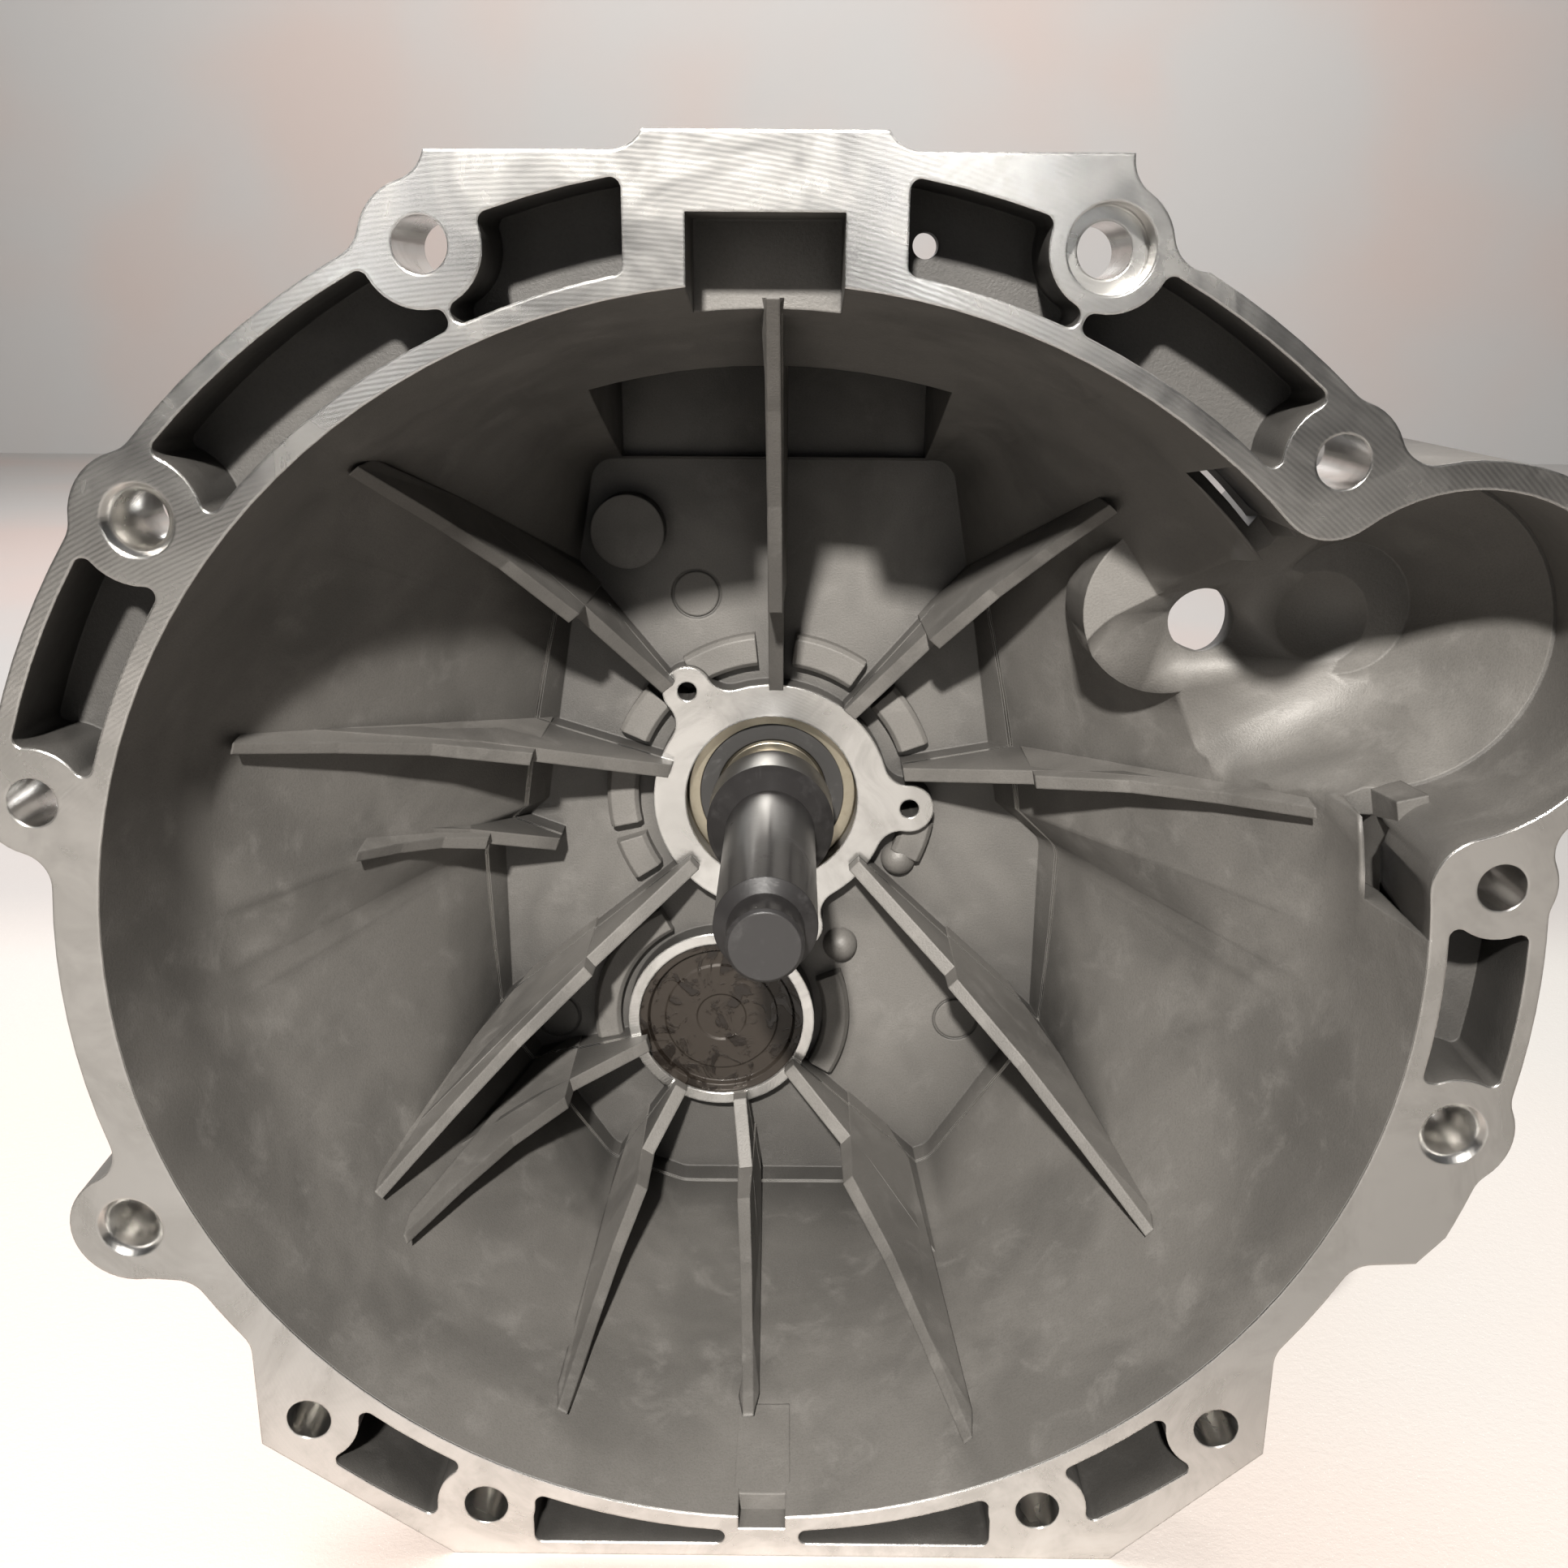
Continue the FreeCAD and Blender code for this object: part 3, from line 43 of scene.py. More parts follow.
CAMERA_RIGHT = Vector((0.999956, 0.006645, 0.006619))
CAMERA_UP = Vector((-0.008277, 0.293294, 0.955986))
CAMERA_FORWARD = Vector((-0.004412, 0.955999, -0.293336))

FLOOR_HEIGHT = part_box("bell_housing")[0].z
FLANGE_FACE = 0.0
BOSS_FACE = 0.156
RING_FACE = 0.157
WALL = 0.166


# ------------------------------------------------------------------ node helpers


class Graph:
    """A material's node tree, with the few kinds of node that the finishes share."""

    def __init__(self, name):
        self.material = bpy.data.materials.new(name)
        self.material.use_nodes = True
        self.tree = self.material.node_tree
        self.tree.nodes.clear()
        self.output = self.tree.nodes.new("ShaderNodeOutputMaterial")
        self.shader = self.tree.nodes.new("ShaderNodeBsdfPrincipled")
        self.tree.links.new(self.shader.outputs[0], self.output.inputs[0])
        self.coordinates = self.tree.nodes.new("ShaderNodeTexCoord")
        self.place = self.coordinates.outputs["Object"]

    def node(self, kind, **settings):
        made = self.tree.nodes.new("ShaderNode" + kind)
        for key, value in settings.items():
            setattr(made, key, value)
        return made

    def wire(self, value, socket):
        """Sets a socket, or links it where the value is another node's output."""
        if isinstance(value, bpy.types.NodeSocket):
            self.tree.links.new(value, socket)
        else:
            socket.default_value = value

    def math(self, operation, *values, clamp=False):
        made = self.node("Math", operation=operation, use_clamp=clamp)
        for socket, value in zip(made.inputs, values):
            self.wire(value, socket)
        return made.outputs[0]

    def vector(self, operation, *values):
        made = self.node("VectorMath", operation=operation)
        for socket, value in zip(made.inputs, values):
            self.wire(value, socket)
        out = "Value" if operation in ("LENGTH", "DOT_PRODUCT", "DISTANCE") else "Vector"
        return made.outputs[out]

    def axes(self, vector):
        made = self.node("SeparateXYZ")
        self.wire(vector, made.inputs[0])
        return made.outputs

    def noise(self, scale, detail=4.0, roughness=0.55, vector=None, distortion=0.0):
        made = self.node("TexNoise")
        self.wire(vector or self.place, made.inputs["Vector"])
        made.inputs["Scale"].default_value = scale
        made.inputs["Detail"].default_value = detail
        made.inputs["Roughness"].default_value = roughness
        made.inputs["Distortion"].default_value = distortion
        return made.outputs["Fac"]

    def cells(self, scale, feature="F1", vector=None, output="Distance"):
        made = self.node("TexVoronoi", feature=feature)
        self.wire(vector or self.place, made.inputs["Vector"])
        made.inputs["Scale"].default_value = scale
        return made.outputs[output]

    def ramp(self, value, *stops):
        """Stops are (position, grey or (r, g, b))."""
        made = self.node("ValToRGB")
        elements = made.color_ramp.elements
        while len(elements) < len(stops):
            elements.new(0.5)
        for element, (position, colour) in zip(elements, stops):
            if not isinstance(colour, tuple):
                colour = (colour, colour, colour)
            element.position = position
            element.color = (*colour, 1)
        self.wire(value, made.inputs[0])
        return made.outputs[0]

    def step(self, value, low, high, start=0.0, end=1.0):
        made = self.node("MapRange", interpolation_type="SMOOTHSTEP", clamp=True)
        for socket, number in zip(made.inputs, (value, low, high, start, end)):
            self.wire(number, socket)
        return made.outputs[0]

    def mix(self, factor, first, second, blend="MIX"):
        made = self.node("Mix", data_type="RGBA", blend_type=blend)
        self.wire(factor, made.inputs["Factor"])
        colour_inputs = [s for s in made.inputs if s.type == "RGBA"]
        self.wire(colour(first), colour_inputs[0])
        self.wire(colour(second), colour_inputs[1])
        return [s for s in made.outputs if s.type == "RGBA"][0]

    def blend(self, factor, first, second):
        made = self.node("Mix", data_type="FLOAT")
        sockets = [s for s in made.inputs if s.type == "VALUE"]
        for socket, value in zip(sockets, (factor, first, second)):
            self.wire(value, socket)
        return [s for s in made.outputs if s.type == "VALUE"][0]

    def bump(self, height, distance, strength=1.0, normal=None):
        made = self.node("Bump")
        made.inputs["Distance"].default_value = distance
        made.inputs["Strength"].default_value = strength
        self.wire(height, made.inputs["Height"])
        if normal is not None:
            self.wire(normal, made.inputs["Normal"])
        return made.outputs[0]

    def edges(self, radius, samples=4):
        made = self.node("Bevel", samples=samples)
        made.inputs["Radius"].default_value = radius
        return made.outputs[0]

    def finish(self, **sockets):
        for name, value in sockets.items():
            self.wire(value, self.shader.inputs[name.replace("_", " ")])
        return self.material


def colour(value):
    if isinstance(value, tuple) and len(value) == 3:
        return (*value, 1)
    return value


# ------------------------------------------------------------------ finishes

FLANGE_HOLES = (
    (-0.0797, 0.1830, 0.0065), (0.0797, 0.1830, 0.0103), (-0.1323, -0.1415, 0.0065),
    (0.1323, -0.1415, 0.0065), (-0.0819, -0.1712, 0.0065), (0.0819, -0.1712, 0.0065),
    (-0.1876, 0.0471, 0.0065), (0.1382, 0.1353, 0.0065), (0.1915, 0.0272, 0.0065),
    (-0.1522, 0.1193, 0.0092), (-0.1771, -0.0777, 0.0092), (0.1882, -0.0445, 0.0092),
)


def mottle(g, base, dark, light, scale=1.0):
    """Cast metal's cloudy colour: broad stains, smaller blotches and fine grain."""
    broad = g.noise(14 * scale, 3, 0.6, distortion=0.6)
    blotch = g.noise(70 * scale, 4, 0.65, distortion=0.4)
    grain = g.noise(1500 * scale, 3, 0.7)
    tone = g.mix(g.step(broad, 0.40, 0.66), base, dark)
    tone = g.mix(g.math("MULTIPLY", g.step(blotch, 0.50, 0.78), 0.55), tone, light)
    shade = g.step(grain, 0.25, 0.8, 0.86, 1.12)
    return g.mix(1.0, tone, g.ramp(shade, (0.0, 0.0), (1.0, 1.0)), "MULTIPLY"), grain, blotch


def cast_and_machined(name, machined_stations=(), holes=()):
    """As-cast aluminium, with painted shade darkening its crevices, that turns to bright milled metal on the
    stated planes across Y and inside holes.
    """
    g = Graph(name)
    _, y, z = g.axes(g.place)
    tone, grain, blotch = mottle(g, (0.130, 0.123, 0.113), (0.092, 0.087, 0.080), (0.175, 0.166, 0.154))
    pits = g.step(g.cells(900), 0.0, 0.22, 1.0, 0.0)
    pits = g.math("MULTIPLY", pits, g.step(g.noise(60, 2), 0.52, 0.62))
    tone = g.mix(g.math("MULTIPLY", pits, 0.5), tone, (0.05, 0.045, 0.04))
    # Painted shade: an ambient-occlusion node darkens the cast colour in crevices, pockets and at the roots
    # of ribs.
    hollow = g.node("AmbientOcclusion", samples=4, only_local=True)
    hollow.inputs["Distance"].default_value = 0.045
    painted_crevice_shade = g.step(hollow.outputs["AO"], 0.15, 0.75, 0.30, 1.0)
    tone = g.mix(1.0, tone, g.ramp(painted_crevice_shade, (0.0, 0.0), (1.0, 1.0)), "MULTIPLY")
    mask = None
    for station in machined_stations:
        near = g.step(g.math("ABSOLUTE", g.math("SUBTRACT", y, station)), 0.0003, 0.0006, 1.0, 0.0)
        mask = near if mask is None else g.math("MAXIMUM", mask, near)
    if mask is not None:
        below_round_boss = g.step(z, 0.070, 0.072, 1.0, 0.0)
        near_engine_face = g.step(y, 0.1, 0.11, 1.0, 0.0)
        mask = g.math("MULTIPLY", mask, g.math("MAXIMUM", below_round_boss, near_engine_face))
    for hole_x, hole_z, radius in holes:
        flat = g.vector("MULTIPLY", g.place, (1, 0, 1))
        away = g.vector("DISTANCE", flat, (hole_x, 0, hole_z))
        near = g.step(away, radius + 0.0002, radius + 0.0004, 1.0, 0.0)
        mask = near if mask is None else g.math("MAXIMUM", mask, near)
    swirl_centre = g.vector("ADD", g.place, (0.05, 0, 0.10))
    swirl = g.node("TexWave", wave_type="RINGS", rings_direction="Y")
    g.wire(swirl_centre, swirl.inputs["Vector"])
    swirl.inputs["Scale"].default_value = 260
    swirl.inputs["Distortion"].default_value = 1.2
    swirl.inputs["Detail"].default_value = 3
    smear = g.noise(30, 4, 0.7, distortion=1.2)
    milled = g.mix(g.step(smear, 0.35, 0.7), (0.62, 0.61, 0.59), (0.48, 0.47, 0.45))
    if mask is None:
        base, rough, metal = tone, g.step(blotch, 0.3, 0.8, 0.50, 0.64), 0.7
        height = g.bump(grain, 0.00012, 0.8)
        return g.finish(Base_Color=base, Roughness=rough, Metallic=metal, Normal=height)
    base = g.mix(mask, tone, milled)
    rough = g.blend(mask, g.step(blotch, 0.3, 0.8, 0.50, 0.64), g.step(smear, 0.3, 0.8, 0.20, 0.32))
    metal = g.blend(mask, 0.22, 1.0)
    rounded = g.edges(0.0009)
    height = g.blend(mask, grain, g.math("MULTIPLY", swirl.outputs["Fac"], 0.05))
    normal = g.bump(height, 0.00012, 0.9, rounded)
    return g.finish(Base_Color=base, Roughness=rough, Metallic=metal, Normal=normal)


def steel(name, base, rough, tint=(0.10, 0.08, 0.06), wear=0.5):
    """Turned or ground steel, with rings of tool marks and thin stains."""
    g = Graph(name)
    streak = g.noise(420, 3, 0.6, distortion=0.3)
    stain = g.noise(55, 4, 0.65, distortion=0.8)
    tone = g.mix(g.math("MULTIPLY", g.step(stain, 0.5, 0.75), wear), base, tint)
    roughness = g.step(stain, 0.3, 0.8, rough, rough + 0.16)
    return g.finish(Base_Color=tone, Roughness=roughness, Metallic=1.0,
                    Normal=g.bump(streak, 0.00003, 0.6, g.edges(0.0004)))


def moulded(name, base, rough, coat=0.0):
    """Moulded plastic or rubber: faint orange peel, dust and scuffs."""
    g = Graph(name)
    peel = g.noise(700, 3, 0.6)
    dust = g.step(g.noise(120, 5, 0.7), 0.52, 0.80)
    scuff = g.step(g.noise(38, 4, 0.75, distortion=2.0), 0.60, 0.72)
    lighter = tuple(min(1.0, c * 2.6 + 0.03) for c in base)
    tone = g.mix(g.math("MULTIPLY", dust, 0.35), base, lighter)
    tone = g.mix(g.math("MULTIPLY", scuff, 0.25), tone, lighter)
    g.shader.inputs["Coat Weight"].default_value = coat
    g.shader.inputs["Coat Roughness"].default_value = 0.15
    return g.finish(Base_Color=tone, Roughness=g.step(scuff, 0.0, 1.0, rough, rough + 0.2), Metallic=0.0,
                    Normal=g.bump(peel, 0.00005, 0.5, g.edges(0.0006)))


def oily_cap():
    """The pressed layshaft cap: dark varnished steel with oil that shines in patches."""
    g = Graph("oily_cap")
    oil = g.noise(90, 4, 0.6, distortion=1.2)
    wet = g.step(oil, 0.48, 0.60)
    tone = g.mix(wet, (0.030, 0.024, 0.019), (0.012, 0.009, 0.007))
    height = g.math("ADD", g.math("MULTIPLY", wet, 0.6), g.math("MULTIPLY", g.noise(600, 3), 0.25))
    return g.finish(Base_Color=tone, Roughness=g.step(wet, 0.0, 1.0, 0.42, 0.10), Metallic=0.35,
                    Normal=g.bump(height, 0.00025, 0.8, g.edges(0.0006)))


finishes = {
    "bell": cast_and_machined("cast_bell", (FLANGE_FACE, BOSS_FACE, RING_FACE), FLANGE_HOLES),
    "case": cast_and_machined("cast_case"),
    "bright": steel("ground_steel", (0.56, 0.54, 0.50), 0.26),
    "dark": steel("dark_steel", (0.16, 0.15, 0.145), 0.36, (0.06, 0.05, 0.045)),
    "bearing": steel("bearing_steel", (0.40, 0.36, 0.28), 0.30, (0.22, 0.18, 0.12)),
    "zinc": steel("zinc_plate", (0.62, 0.60, 0.52), 0.30, (0.42, 0.36, 0.20), 0.7),
    "plastic": moulded("black_plastic", (0.016, 0.015, 0.015), 0.32, 0.3),
    "rubber": moulded("black_rubber", (0.020, 0.019, 0.018), 0.48),
    "cap": oily_cap(),
}

FINISH_OF_NODE = {
    "bell_housing": "bell", "gear_case": "case", "rear_housing": "case", "top_cover": "case",
    "turret_cap": "plastic", "case_screws": "zinc", "rear_screws": "zinc", "cover_screws": "zinc",
    "drain_plug": "zinc", "filler_plug": "zinc", "breather": "dark", "speed_sensor": "plastic",
    "input_shaft": "bright", "input_shaft_sleeve": "plastic", "layshaft_cap": "cap",
    "output_seal": "rubber", "output_nut": "zinc", "output_flange": "dark",
}
for name, item in nodes.items():
    kind = FINISH_OF_NODE.get(name)
    if kind is None:
        kind = "rubber" if name.endswith("shield") else "bearing" if name.endswith("ring") else "bright"
    item.data.materials.clear()
    item.data.materials.append(finishes[kind])


# ------------------------------------------------------------------ cast details on the bell

HOUSING = "housing"
bell = nodes["bell_housing"]


def plan(radius, degrees):
    """A point in the plane across the shafts, as (x, z)."""
    return radius * math.cos(math.radians(degrees)), radius * math.sin(math.radians(degrees))


def mesh_object(name, corners, faces, smooth=False):
    mesh = bpy.data.meshes.new(name)
    mesh.from_pydata(corners, [], faces)
    mesh.validate()
    made = bmesh.new()
    made.from_mesh(mesh)
    bmesh.ops.recalc_face_normals(made, faces=made.faces)
    made.to_mesh(mesh)
    made.free()
    for face in mesh.polygons:
        face.use_smooth = smooth
    item = bpy.data.objects.new(name, mesh)
    bpy.context.scene.collection.objects.link(item)
    return item


def dressed(item, kind="bell"):
    item.data.materials.append(finishes[kind])
    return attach(item, HOUSING)


def skin(name, rings, smooth=False):
    """A closed solid through rings of equally many points, capped at both ends."""
    count = len(rings[0])
    corners = [corner for ring in rings for corner in ring]
    faces = [tuple(range(count)), tuple(range(len(corners) - count, len(corners)))]
    for level in range(len(rings) - 1):
        for step in range(count):
            after = (step + 1) % count
            faces.append((level * count + step, level * count + after,
                          (level + 1) * count + after, (level + 1) * count + step))
    return mesh_object(name, corners, faces, smooth)


def ball(name, x, y, z, radius, segments=32):
    """A globe, also used as a cutter for round hollows."""
    rings = []
    for level in range(1, segments // 2):
        lift = math.pi * level / (segments // 2)
        rings.append([(x + radius * math.sin(lift) * math.cos(math.tau * step / segments),
                       y + radius * math.cos(lift),
                       z + radius * math.sin(lift) * math.sin(math.tau * step / segments))
                      for step in range(segments)])
    return skin(name, rings, True)


def hollowed(cutter):
    """Takes the cutter's form out of the bell's casting; the cutter itself is never shown."""
    cutter.hide_render = True
    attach(cutter, HOUSING)
    away = bell.modifiers.new(cutter.name, "BOOLEAN")
    away.operation = "DIFFERENCE"
    away.solver = "EXACT"
    away.object = cutter


STARTER_ANGLE = 25.9


def bowl_ring(y, bulge_place, bulge_radius, bell_place, bell_radius, count=48):
    """The outline round two discs on the line from the shaft to the starter, at one depth."""
    (bulge_x, bulge_z), (bell_x, bell_z) = plan(bulge_place, STARTER_ANGLE), plan(bell_place, STARTER_ANGLE)
    ring = []
    for step in range(count):
        turn = 360.0 * step / count
        outward = math.cos(math.radians(turn)) >= 0
        x, z = (bulge_x, bulge_z) if outward else (bell_x, bell_z)
        along, across = plan(bulge_radius if outward else bell_radius, turn + STARTER_ANGLE)
        ring.append((x + along, y, z + across))
    return ring


BOWL_RINGS = (
    (0.026, 0.1905, 0.0400, 0.1500, 0.0400),
    (0.050, 0.1850, 0.0385, 0.1420, 0.0370),
    (0.070, 0.1775, 0.0350, 0.1370, 0.0330),
    (0.082, 0.1720, 0.0300, 0.1330, 0.0290),
    (0.088, 0.1680, 0.0210, 0.1300, 0.0220),
)
DIMPLE_CIRCLE = 0.1850
DIMPLE_DEPTH = 0.0700
DIMPLE_RADIUS = 0.0225

hollowed(skin("starter_bowl", [bowl_ring(*ring) for ring in BOWL_RINGS], True))
dimple_x, dimple_z = plan(DIMPLE_CIRCLE, STARTER_ANGLE)
hollowed(ball("starter_dimple", dimple_x, DIMPLE_DEPTH, dimple_z, DIMPLE_RADIUS))


def depth_at(x, z):
    """How far down the bell's surface lies below a point of the engine face."""
    hit, place, *_ = bell.ray_cast((x, -0.01, z), (0, 1, 0))
    return place.y if hit else WALL


RIB_THICKNESS = 0.0046
RIB_ROOT_FACE = 0.151
TOE_START = 0.35
RIBS = {
    "top": ((0.0015, 0.026), (0.0015, 0.1720)),
    "upper_left": ((-0.039, 0.045), (-0.1075, 0.1285)),
    "upper_right": ((0.030, 0.036), (0.0985, 0.1155)),
    "left": ((-0.040, 0.013), (-0.1540, 0.0475)),
    "left_short": ((-0.081, -0.015), (-0.1320, 0.0010)),
    "lower_left": ((-0.031, -0.026), (-0.1240, -0.1025)),
    "lower_left_outer": ((-0.050, -0.097), (-0.1140, -0.1130)),
    "foot_left": ((-0.036, -0.117), (-0.0620, -0.1560)),
    "foot": ((-0.011, -0.122), (-0.0050, -0.1660)),
    "foot_right": ((0.010, -0.108), (0.0620, -0.1565)),
    "lower_right": ((0.033, -0.026), (0.1215, -0.1090)),
    "right": ((0.051, 0.012), (0.1590, 0.0310)),
}


def toe(name, start, end):
    """A rib's outer end: a thin blade whose front edge stands proud of the shell and dies into it."""
    (x1, z1), (x2, z2) = start, end
    length = math.hypot(x2 - x1, z2 - z1)
    along = ((x2 - x1) / length, (z2 - z1) / length)
    aside = (-along[1], along[0])
    edge = []
    for share in (TOE_START, 0.6, 0.8, 1.0):
        x, z = x1 + (x2 - x1) * share, z1 + (z2 - z1) * share
        beside = min(depth_at(x + side * aside[0], z + side * aside[1]) for side in (-0.007, 0.007))
        edge.append((x, z, beside))
    last = edge[-1][2] - 0.0065
    first = RIB_ROOT_FACE - (RIB_ROOT_FACE - last) * TOE_START + 0.0035
    rings = []
    for index, (x, z, beside) in enumerate(edge):
        share = index / (len(edge) - 1)
        front = first + (last - first) * share + 0.004 * math.sin(math.pi * share)
        half_front, half_back = RIB_THICKNESS / 2 * (1.0 - 0.25 * share), RIB_THICKNESS * 0.75
        back = max(beside, front) + 0.004
        rings.append([(x - aside[0] * half_front, front, z - aside[1] * half_front),
                      (x + aside[0] * half_front, front, z + aside[1] * half_front),
                      (x + aside[0] * half_back, back, z + aside[1] * half_back),
                      (x - aside[0] * half_back, back, z - aside[1] * half_back)])
    return dressed(skin("rib_toe_" + name, rings))


for rib_name, (rib_start, rib_end) in RIBS.items():
    toe(rib_name, rib_start, rib_end)


def band(name, centre, section, first, last):
    """A band that circles a point from one angle to another; its section is a list of (radius, depth)."""
    steps = max(4, int((last - first) / 3))
    rings = []
    for step in range(steps + 1):
        angle = first + (last - first) * step / steps
        ring = []
        for radius, y in section:
            x, z = plan(radius, angle)
            ring.append((centre[0] + x, y, centre[1] + z))
        rings.append(ring)
    return dressed(skin(name, rings))


def skirt_section(inner, outer, crest):
    """A low pad's section, with its front corners eased."""
    foot, ease = WALL + 0.002, 0.0015
    return [(inner, foot), (inner, crest + ease), (inner + ease, crest),
            (outer - ease, crest), (outer, crest + ease), (outer, foot)]


LAYSHAFT = plan(0.090, 258.0)
INPUT_SKIRT = ((96, 122), (56, 82), (20, 43), (138, 156), (170, 192), (198, 213), (335, 350))
LAYSHAFT_SKIRT = ((118, 192), (330, 382))
STARTER_LIP = [(0.1790, 0.032), (0.1755, 0.054), (0.1850, 0.054), (0.1880, 0.032)]
FOOT_FILL = [(0.1735, 0.008), (0.1668, 0.040), (0.1830, 0.040), (0.1830, 0.008)]
BALL_BOSSES = ((0.026, -0.060), (0.047, -0.025))
BALL_BOSS_RADIUS = 0.0065
EJECTOR_MARKS = ((-0.027, 0.073), (-0.082, -0.091), (0.071, -0.091))
EJECTOR_MARK_RADIUS = 0.0084
EJECTOR_MARK_WIDTH = 0.0010
EJECTOR_MARK_DEPTH = 0.0007

for number, (first, last) in enumerate(INPUT_SKIRT):
    band(f"input_skirt_{number}", (0, 0), skirt_section(0.0485, 0.0600, 0.1600), first, last)
for number, (first, last) in enumerate(LAYSHAFT_SKIRT):
    band(f"layshaft_skirt_{number}", LAYSHAFT, skirt_section(0.0385, 0.0485, 0.1605), first, last)
band("starter_lip_low", (0, 0), STARTER_LIP, 2, 13)
band("starter_lip_high", (0, 0), STARTER_LIP, 39, 51)
band("foot_fill", (0, 0), FOOT_FILL, 267.2, 272.8)
for number, (x, z) in enumerate(BALL_BOSSES):
    dressed(ball(f"ball_boss_{number}", x, WALL - 0.0005, z, BALL_BOSS_RADIUS))


def ejector_mark(name, x, z, segments=40):
    """Cuts a shallow round groove into the wall, as the mould's ejector pins leave."""
    corners = []
    for step in range(segments):
        for offset, y in ((-0.5, WALL - 0.001), (0.5, WALL - 0.001),
                          (0.5, WALL + EJECTOR_MARK_DEPTH), (-0.5, WALL + EJECTOR_MARK_DEPTH)):
            along, across = plan(EJECTOR_MARK_RADIUS + offset * EJECTOR_MARK_WIDTH, 360.0 * step / segments)
            corners.append((x + along, y, z + across))
    faces = []
    for step in range(segments):
        here, there = 4 * step, 4 * ((step + 1) % segments)
        for side in range(4):
            after = (side + 1) % 4
            faces.append((here + side, here + after, there + after, there + side))
    hollowed(mesh_object(name, corners, faces))


for number, (x, z) in enumerate(EJECTOR_MARKS):
    ejector_mark(f"ejector_mark_{number}", x, z)


# ------------------------------------------------------------------ stage, light and camera


def staged_sheet(name, corners, material):
    mesh = bpy.data.meshes.new(name)
    mesh.from_pydata(corners, [], [tuple(range(len(corners)))])
    sheet = bpy.data.objects.new(name, mesh)
    bpy.context.scene.collection.objects.link(sheet)
    mesh.materials.append(material)
    return sheet


def floor_finish():
    """White table top with small white specks painted in as glints, and a darkened front strip of painted
    shade, that turns to the grey backdrop behind the part.
    """
    g = Graph("table_top")
    _, y, _ = g.axes(g.place)
    warm = g.step(g.noise(2.2, 2, 0.5), 0.35, 0.7)
    tone = g.mix(warm, (0.42, 0.41, 0.395), (0.47, 0.405, 0.37))
    # Painted glints: small white specks mixed into the table top's colour stand for its sparkle.
    tone = g.mix(g.step(g.cells(650), 0.0, 0.13, 0.5, 0.0), tone, (1.0, 1.0, 0.98))
    back = g.mix(g.step(g.noise(1.6, 2), 0.35, 0.7), (0.33, 0.325, 0.32), (0.37, 0.31, 0.29))
    tone = g.mix(g.step(y, 0.42, 0.56), tone, back)
    # Painted shade: the floor in front of the part, outside the main view, is darkened so that it throws
    # less light into the bell.
    tone = g.mix(g.step(y, -0.12, -0.01), (0.20, 0.19, 0.18), tone)
    return g.finish(Base_Color=tone, Roughness=0.55, Metallic=0.0,
                    Normal=g.bump(g.noise(500, 3, 0.7), 0.0004, 0.5))


def backdrop_finish():
    g = Graph("backdrop")
    tone = g.mix(g.step(g.noise(1.6, 2), 0.35, 0.7), (0.40, 0.40, 0.40), (0.43, 0.375, 0.355))
    return g.finish(Base_Color=tone, Roughness=0.9, Metallic=0.0)


WIDE = 4.0
BACK_WALL = 3.6
staged_sheet("floor", [(-WIDE, -WIDE, FLOOR_HEIGHT), (WIDE, -WIDE, FLOOR_HEIGHT),
                       (WIDE, BACK_WALL, FLOOR_HEIGHT), (-WIDE, BACK_WALL, FLOOR_HEIGHT)], floor_finish())
staged_sheet("backdrop", [(-WIDE, BACK_WALL, FLOOR_HEIGHT), (WIDE, BACK_WALL, FLOOR_HEIGHT),
                          (WIDE, BACK_WALL, 3.0), (-WIDE, BACK_WALL, 3.0)], backdrop_finish())


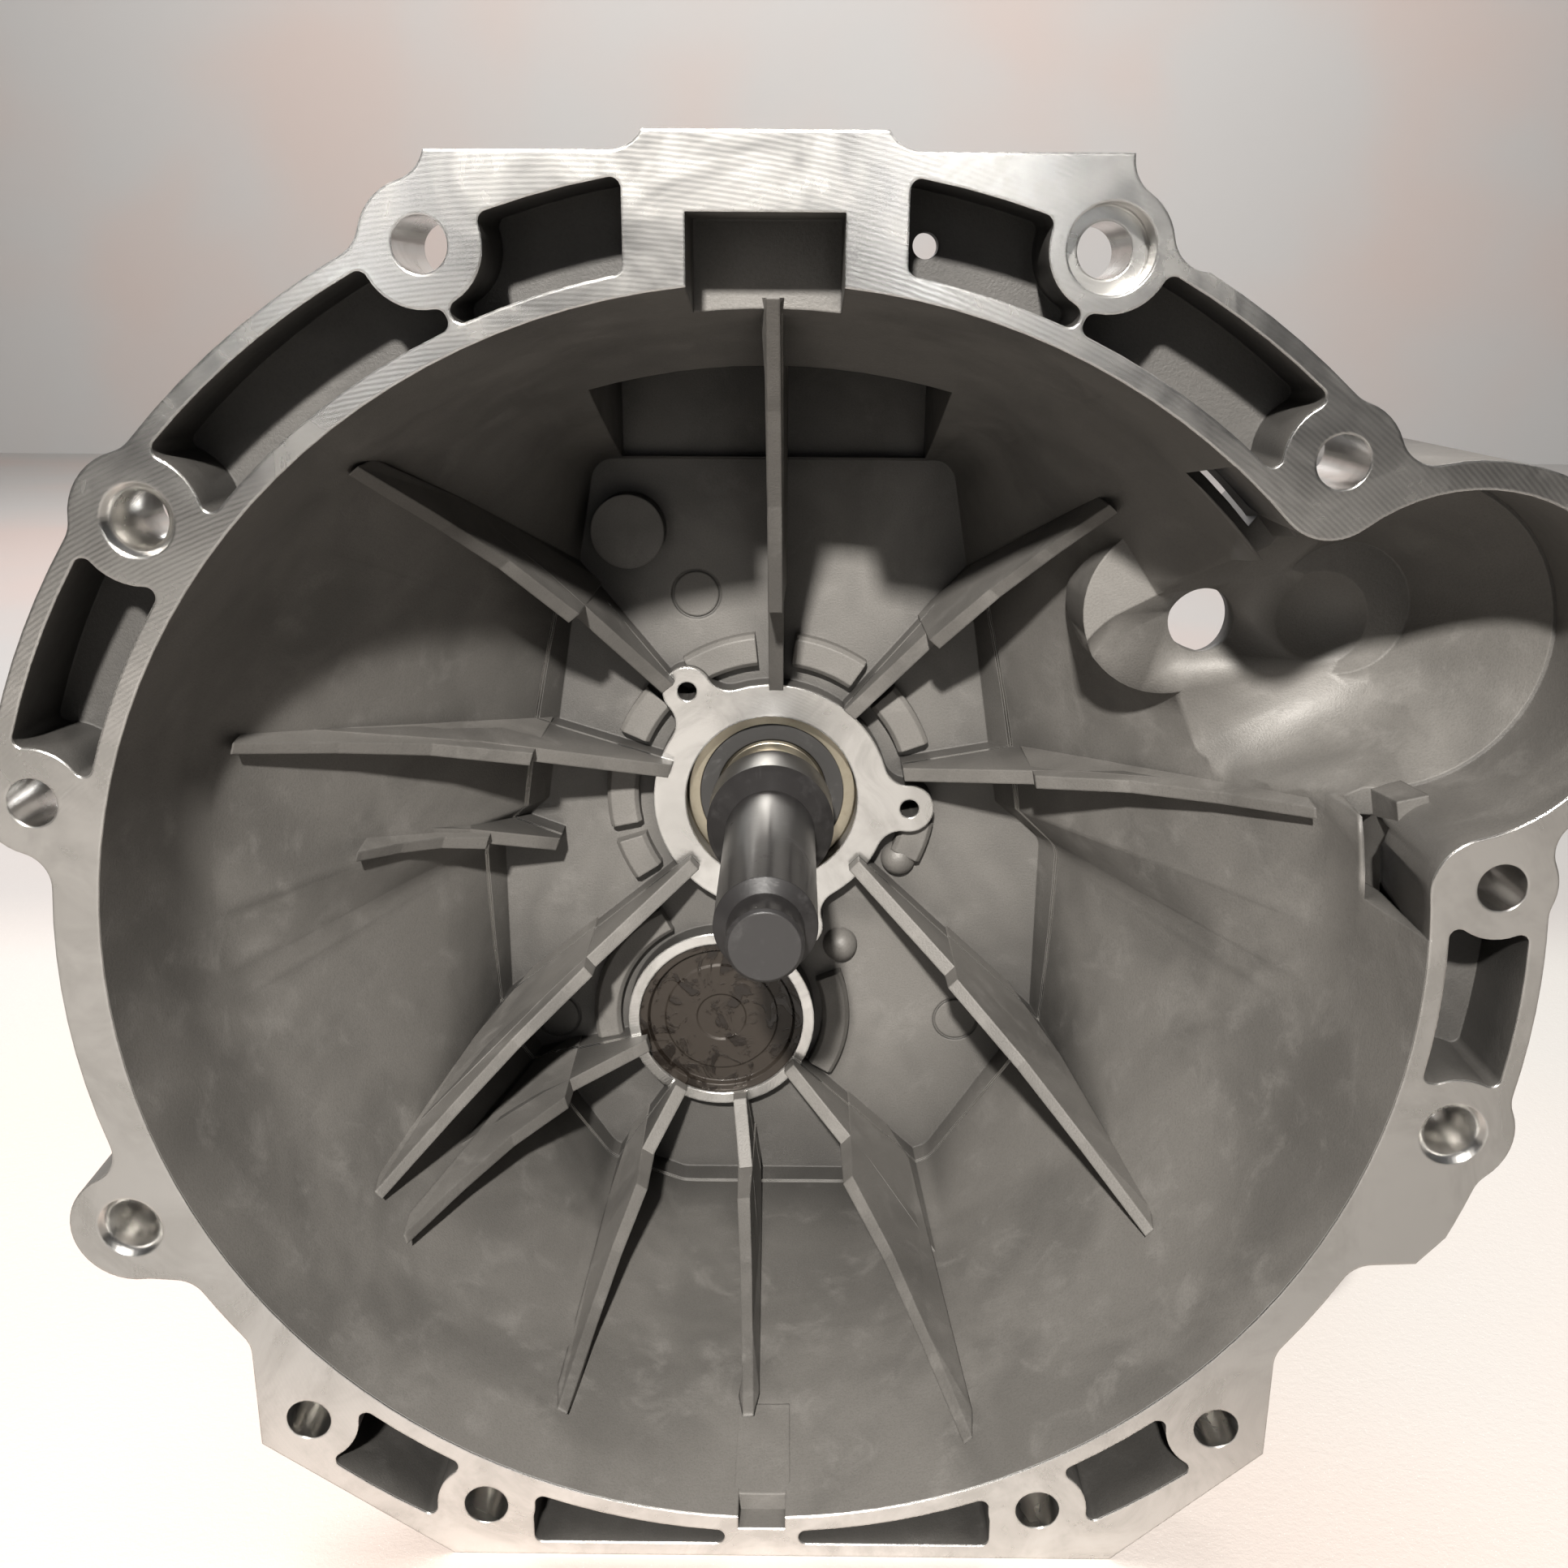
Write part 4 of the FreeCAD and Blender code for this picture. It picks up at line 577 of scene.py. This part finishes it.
def lamp(name, place, target, size, power, tint=(1, 1, 1)):
    data = bpy.data.lights.new(name, "AREA")
    data.shape = "RECTANGLE"
    data.size, data.size_y = size
    data.energy = power
    data.color = tint
    item = bpy.data.objects.new(name, data)
    bpy.context.scene.collection.objects.link(item)
    item.location = place
    item.rotation_mode = "QUATERNION"
    item.rotation_quaternion = (Vector(target) - Vector(place)).to_track_quat("-Z", "Y")
    return item


lamp("key", (-0.16, -1.50, 1.08), (0, 0.05, 0.0), (0.08, 0.08), 115, (1.0, 0.965, 0.92))
lamp("streak_left", (-0.55, -1.6, 0.42), (0, 0, 0.15), (0.03, 0.7), 0.7)
lamp("streak_right", (0.22, -1.6, 0.40), (0, 0, 0.15), (0.03, 0.5), 0.7)
lamp("backdrop_wash", (0.0, 1.6, 2.6), (0.0, BACK_WALL, 0.4), (2.4, 0.6), 120, (1.0, 0.955, 0.915))
lamp("rear", (-1.0, 1.9, 1.7), (0, 0.3, 0), (1.2, 1.2), 42, (0.97, 0.98, 1.0))
lamp("floor_wash", (0.9, 0.1, 1.3), (0.45, 0.1, -0.2), (0.5, 0.5), 2, (1.0, 0.96, 0.92))

world = bpy.data.worlds.new("room")
bpy.context.scene.world = world
world.use_nodes = True
tree = world.node_tree
background = tree.nodes["Background"]
direction = tree.nodes.new("ShaderNodeTexCoord")
axes = tree.nodes.new("ShaderNodeSeparateXYZ")
tree.links.new(direction.outputs["Generated"], axes.inputs[0])
height = tree.nodes.new("ShaderNodeValToRGB")
tree.links.new(axes.outputs[2], height.inputs[0])
height.color_ramp.elements[0].position = 0.05
height.color_ramp.elements[0].color = (0.10, 0.10, 0.105, 1)
height.color_ramp.elements[1].position = 0.75
height.color_ramp.elements[1].color = (0.85, 0.88, 0.92, 1)
tree.links.new(height.outputs[0], background.inputs["Color"])
background.inputs["Strength"].default_value = 0.10

camera_data = bpy.data.cameras.new("camera")
camera_data.sensor_width = SENSOR_WIDTH
camera_data.lens = LENS
camera_data.clip_start = 0.01
camera = bpy.data.objects.new("camera", camera_data)
bpy.context.scene.collection.objects.link(camera)
turn = Matrix((CAMERA_RIGHT, CAMERA_UP, -CAMERA_FORWARD)).transposed()
camera.matrix_world = Matrix.Translation(CAMERA_PLACE) @ turn.to_4x4()
bpy.context.scene.camera = camera
bpy.context.scene.view_settings.view_transform = "Standard"
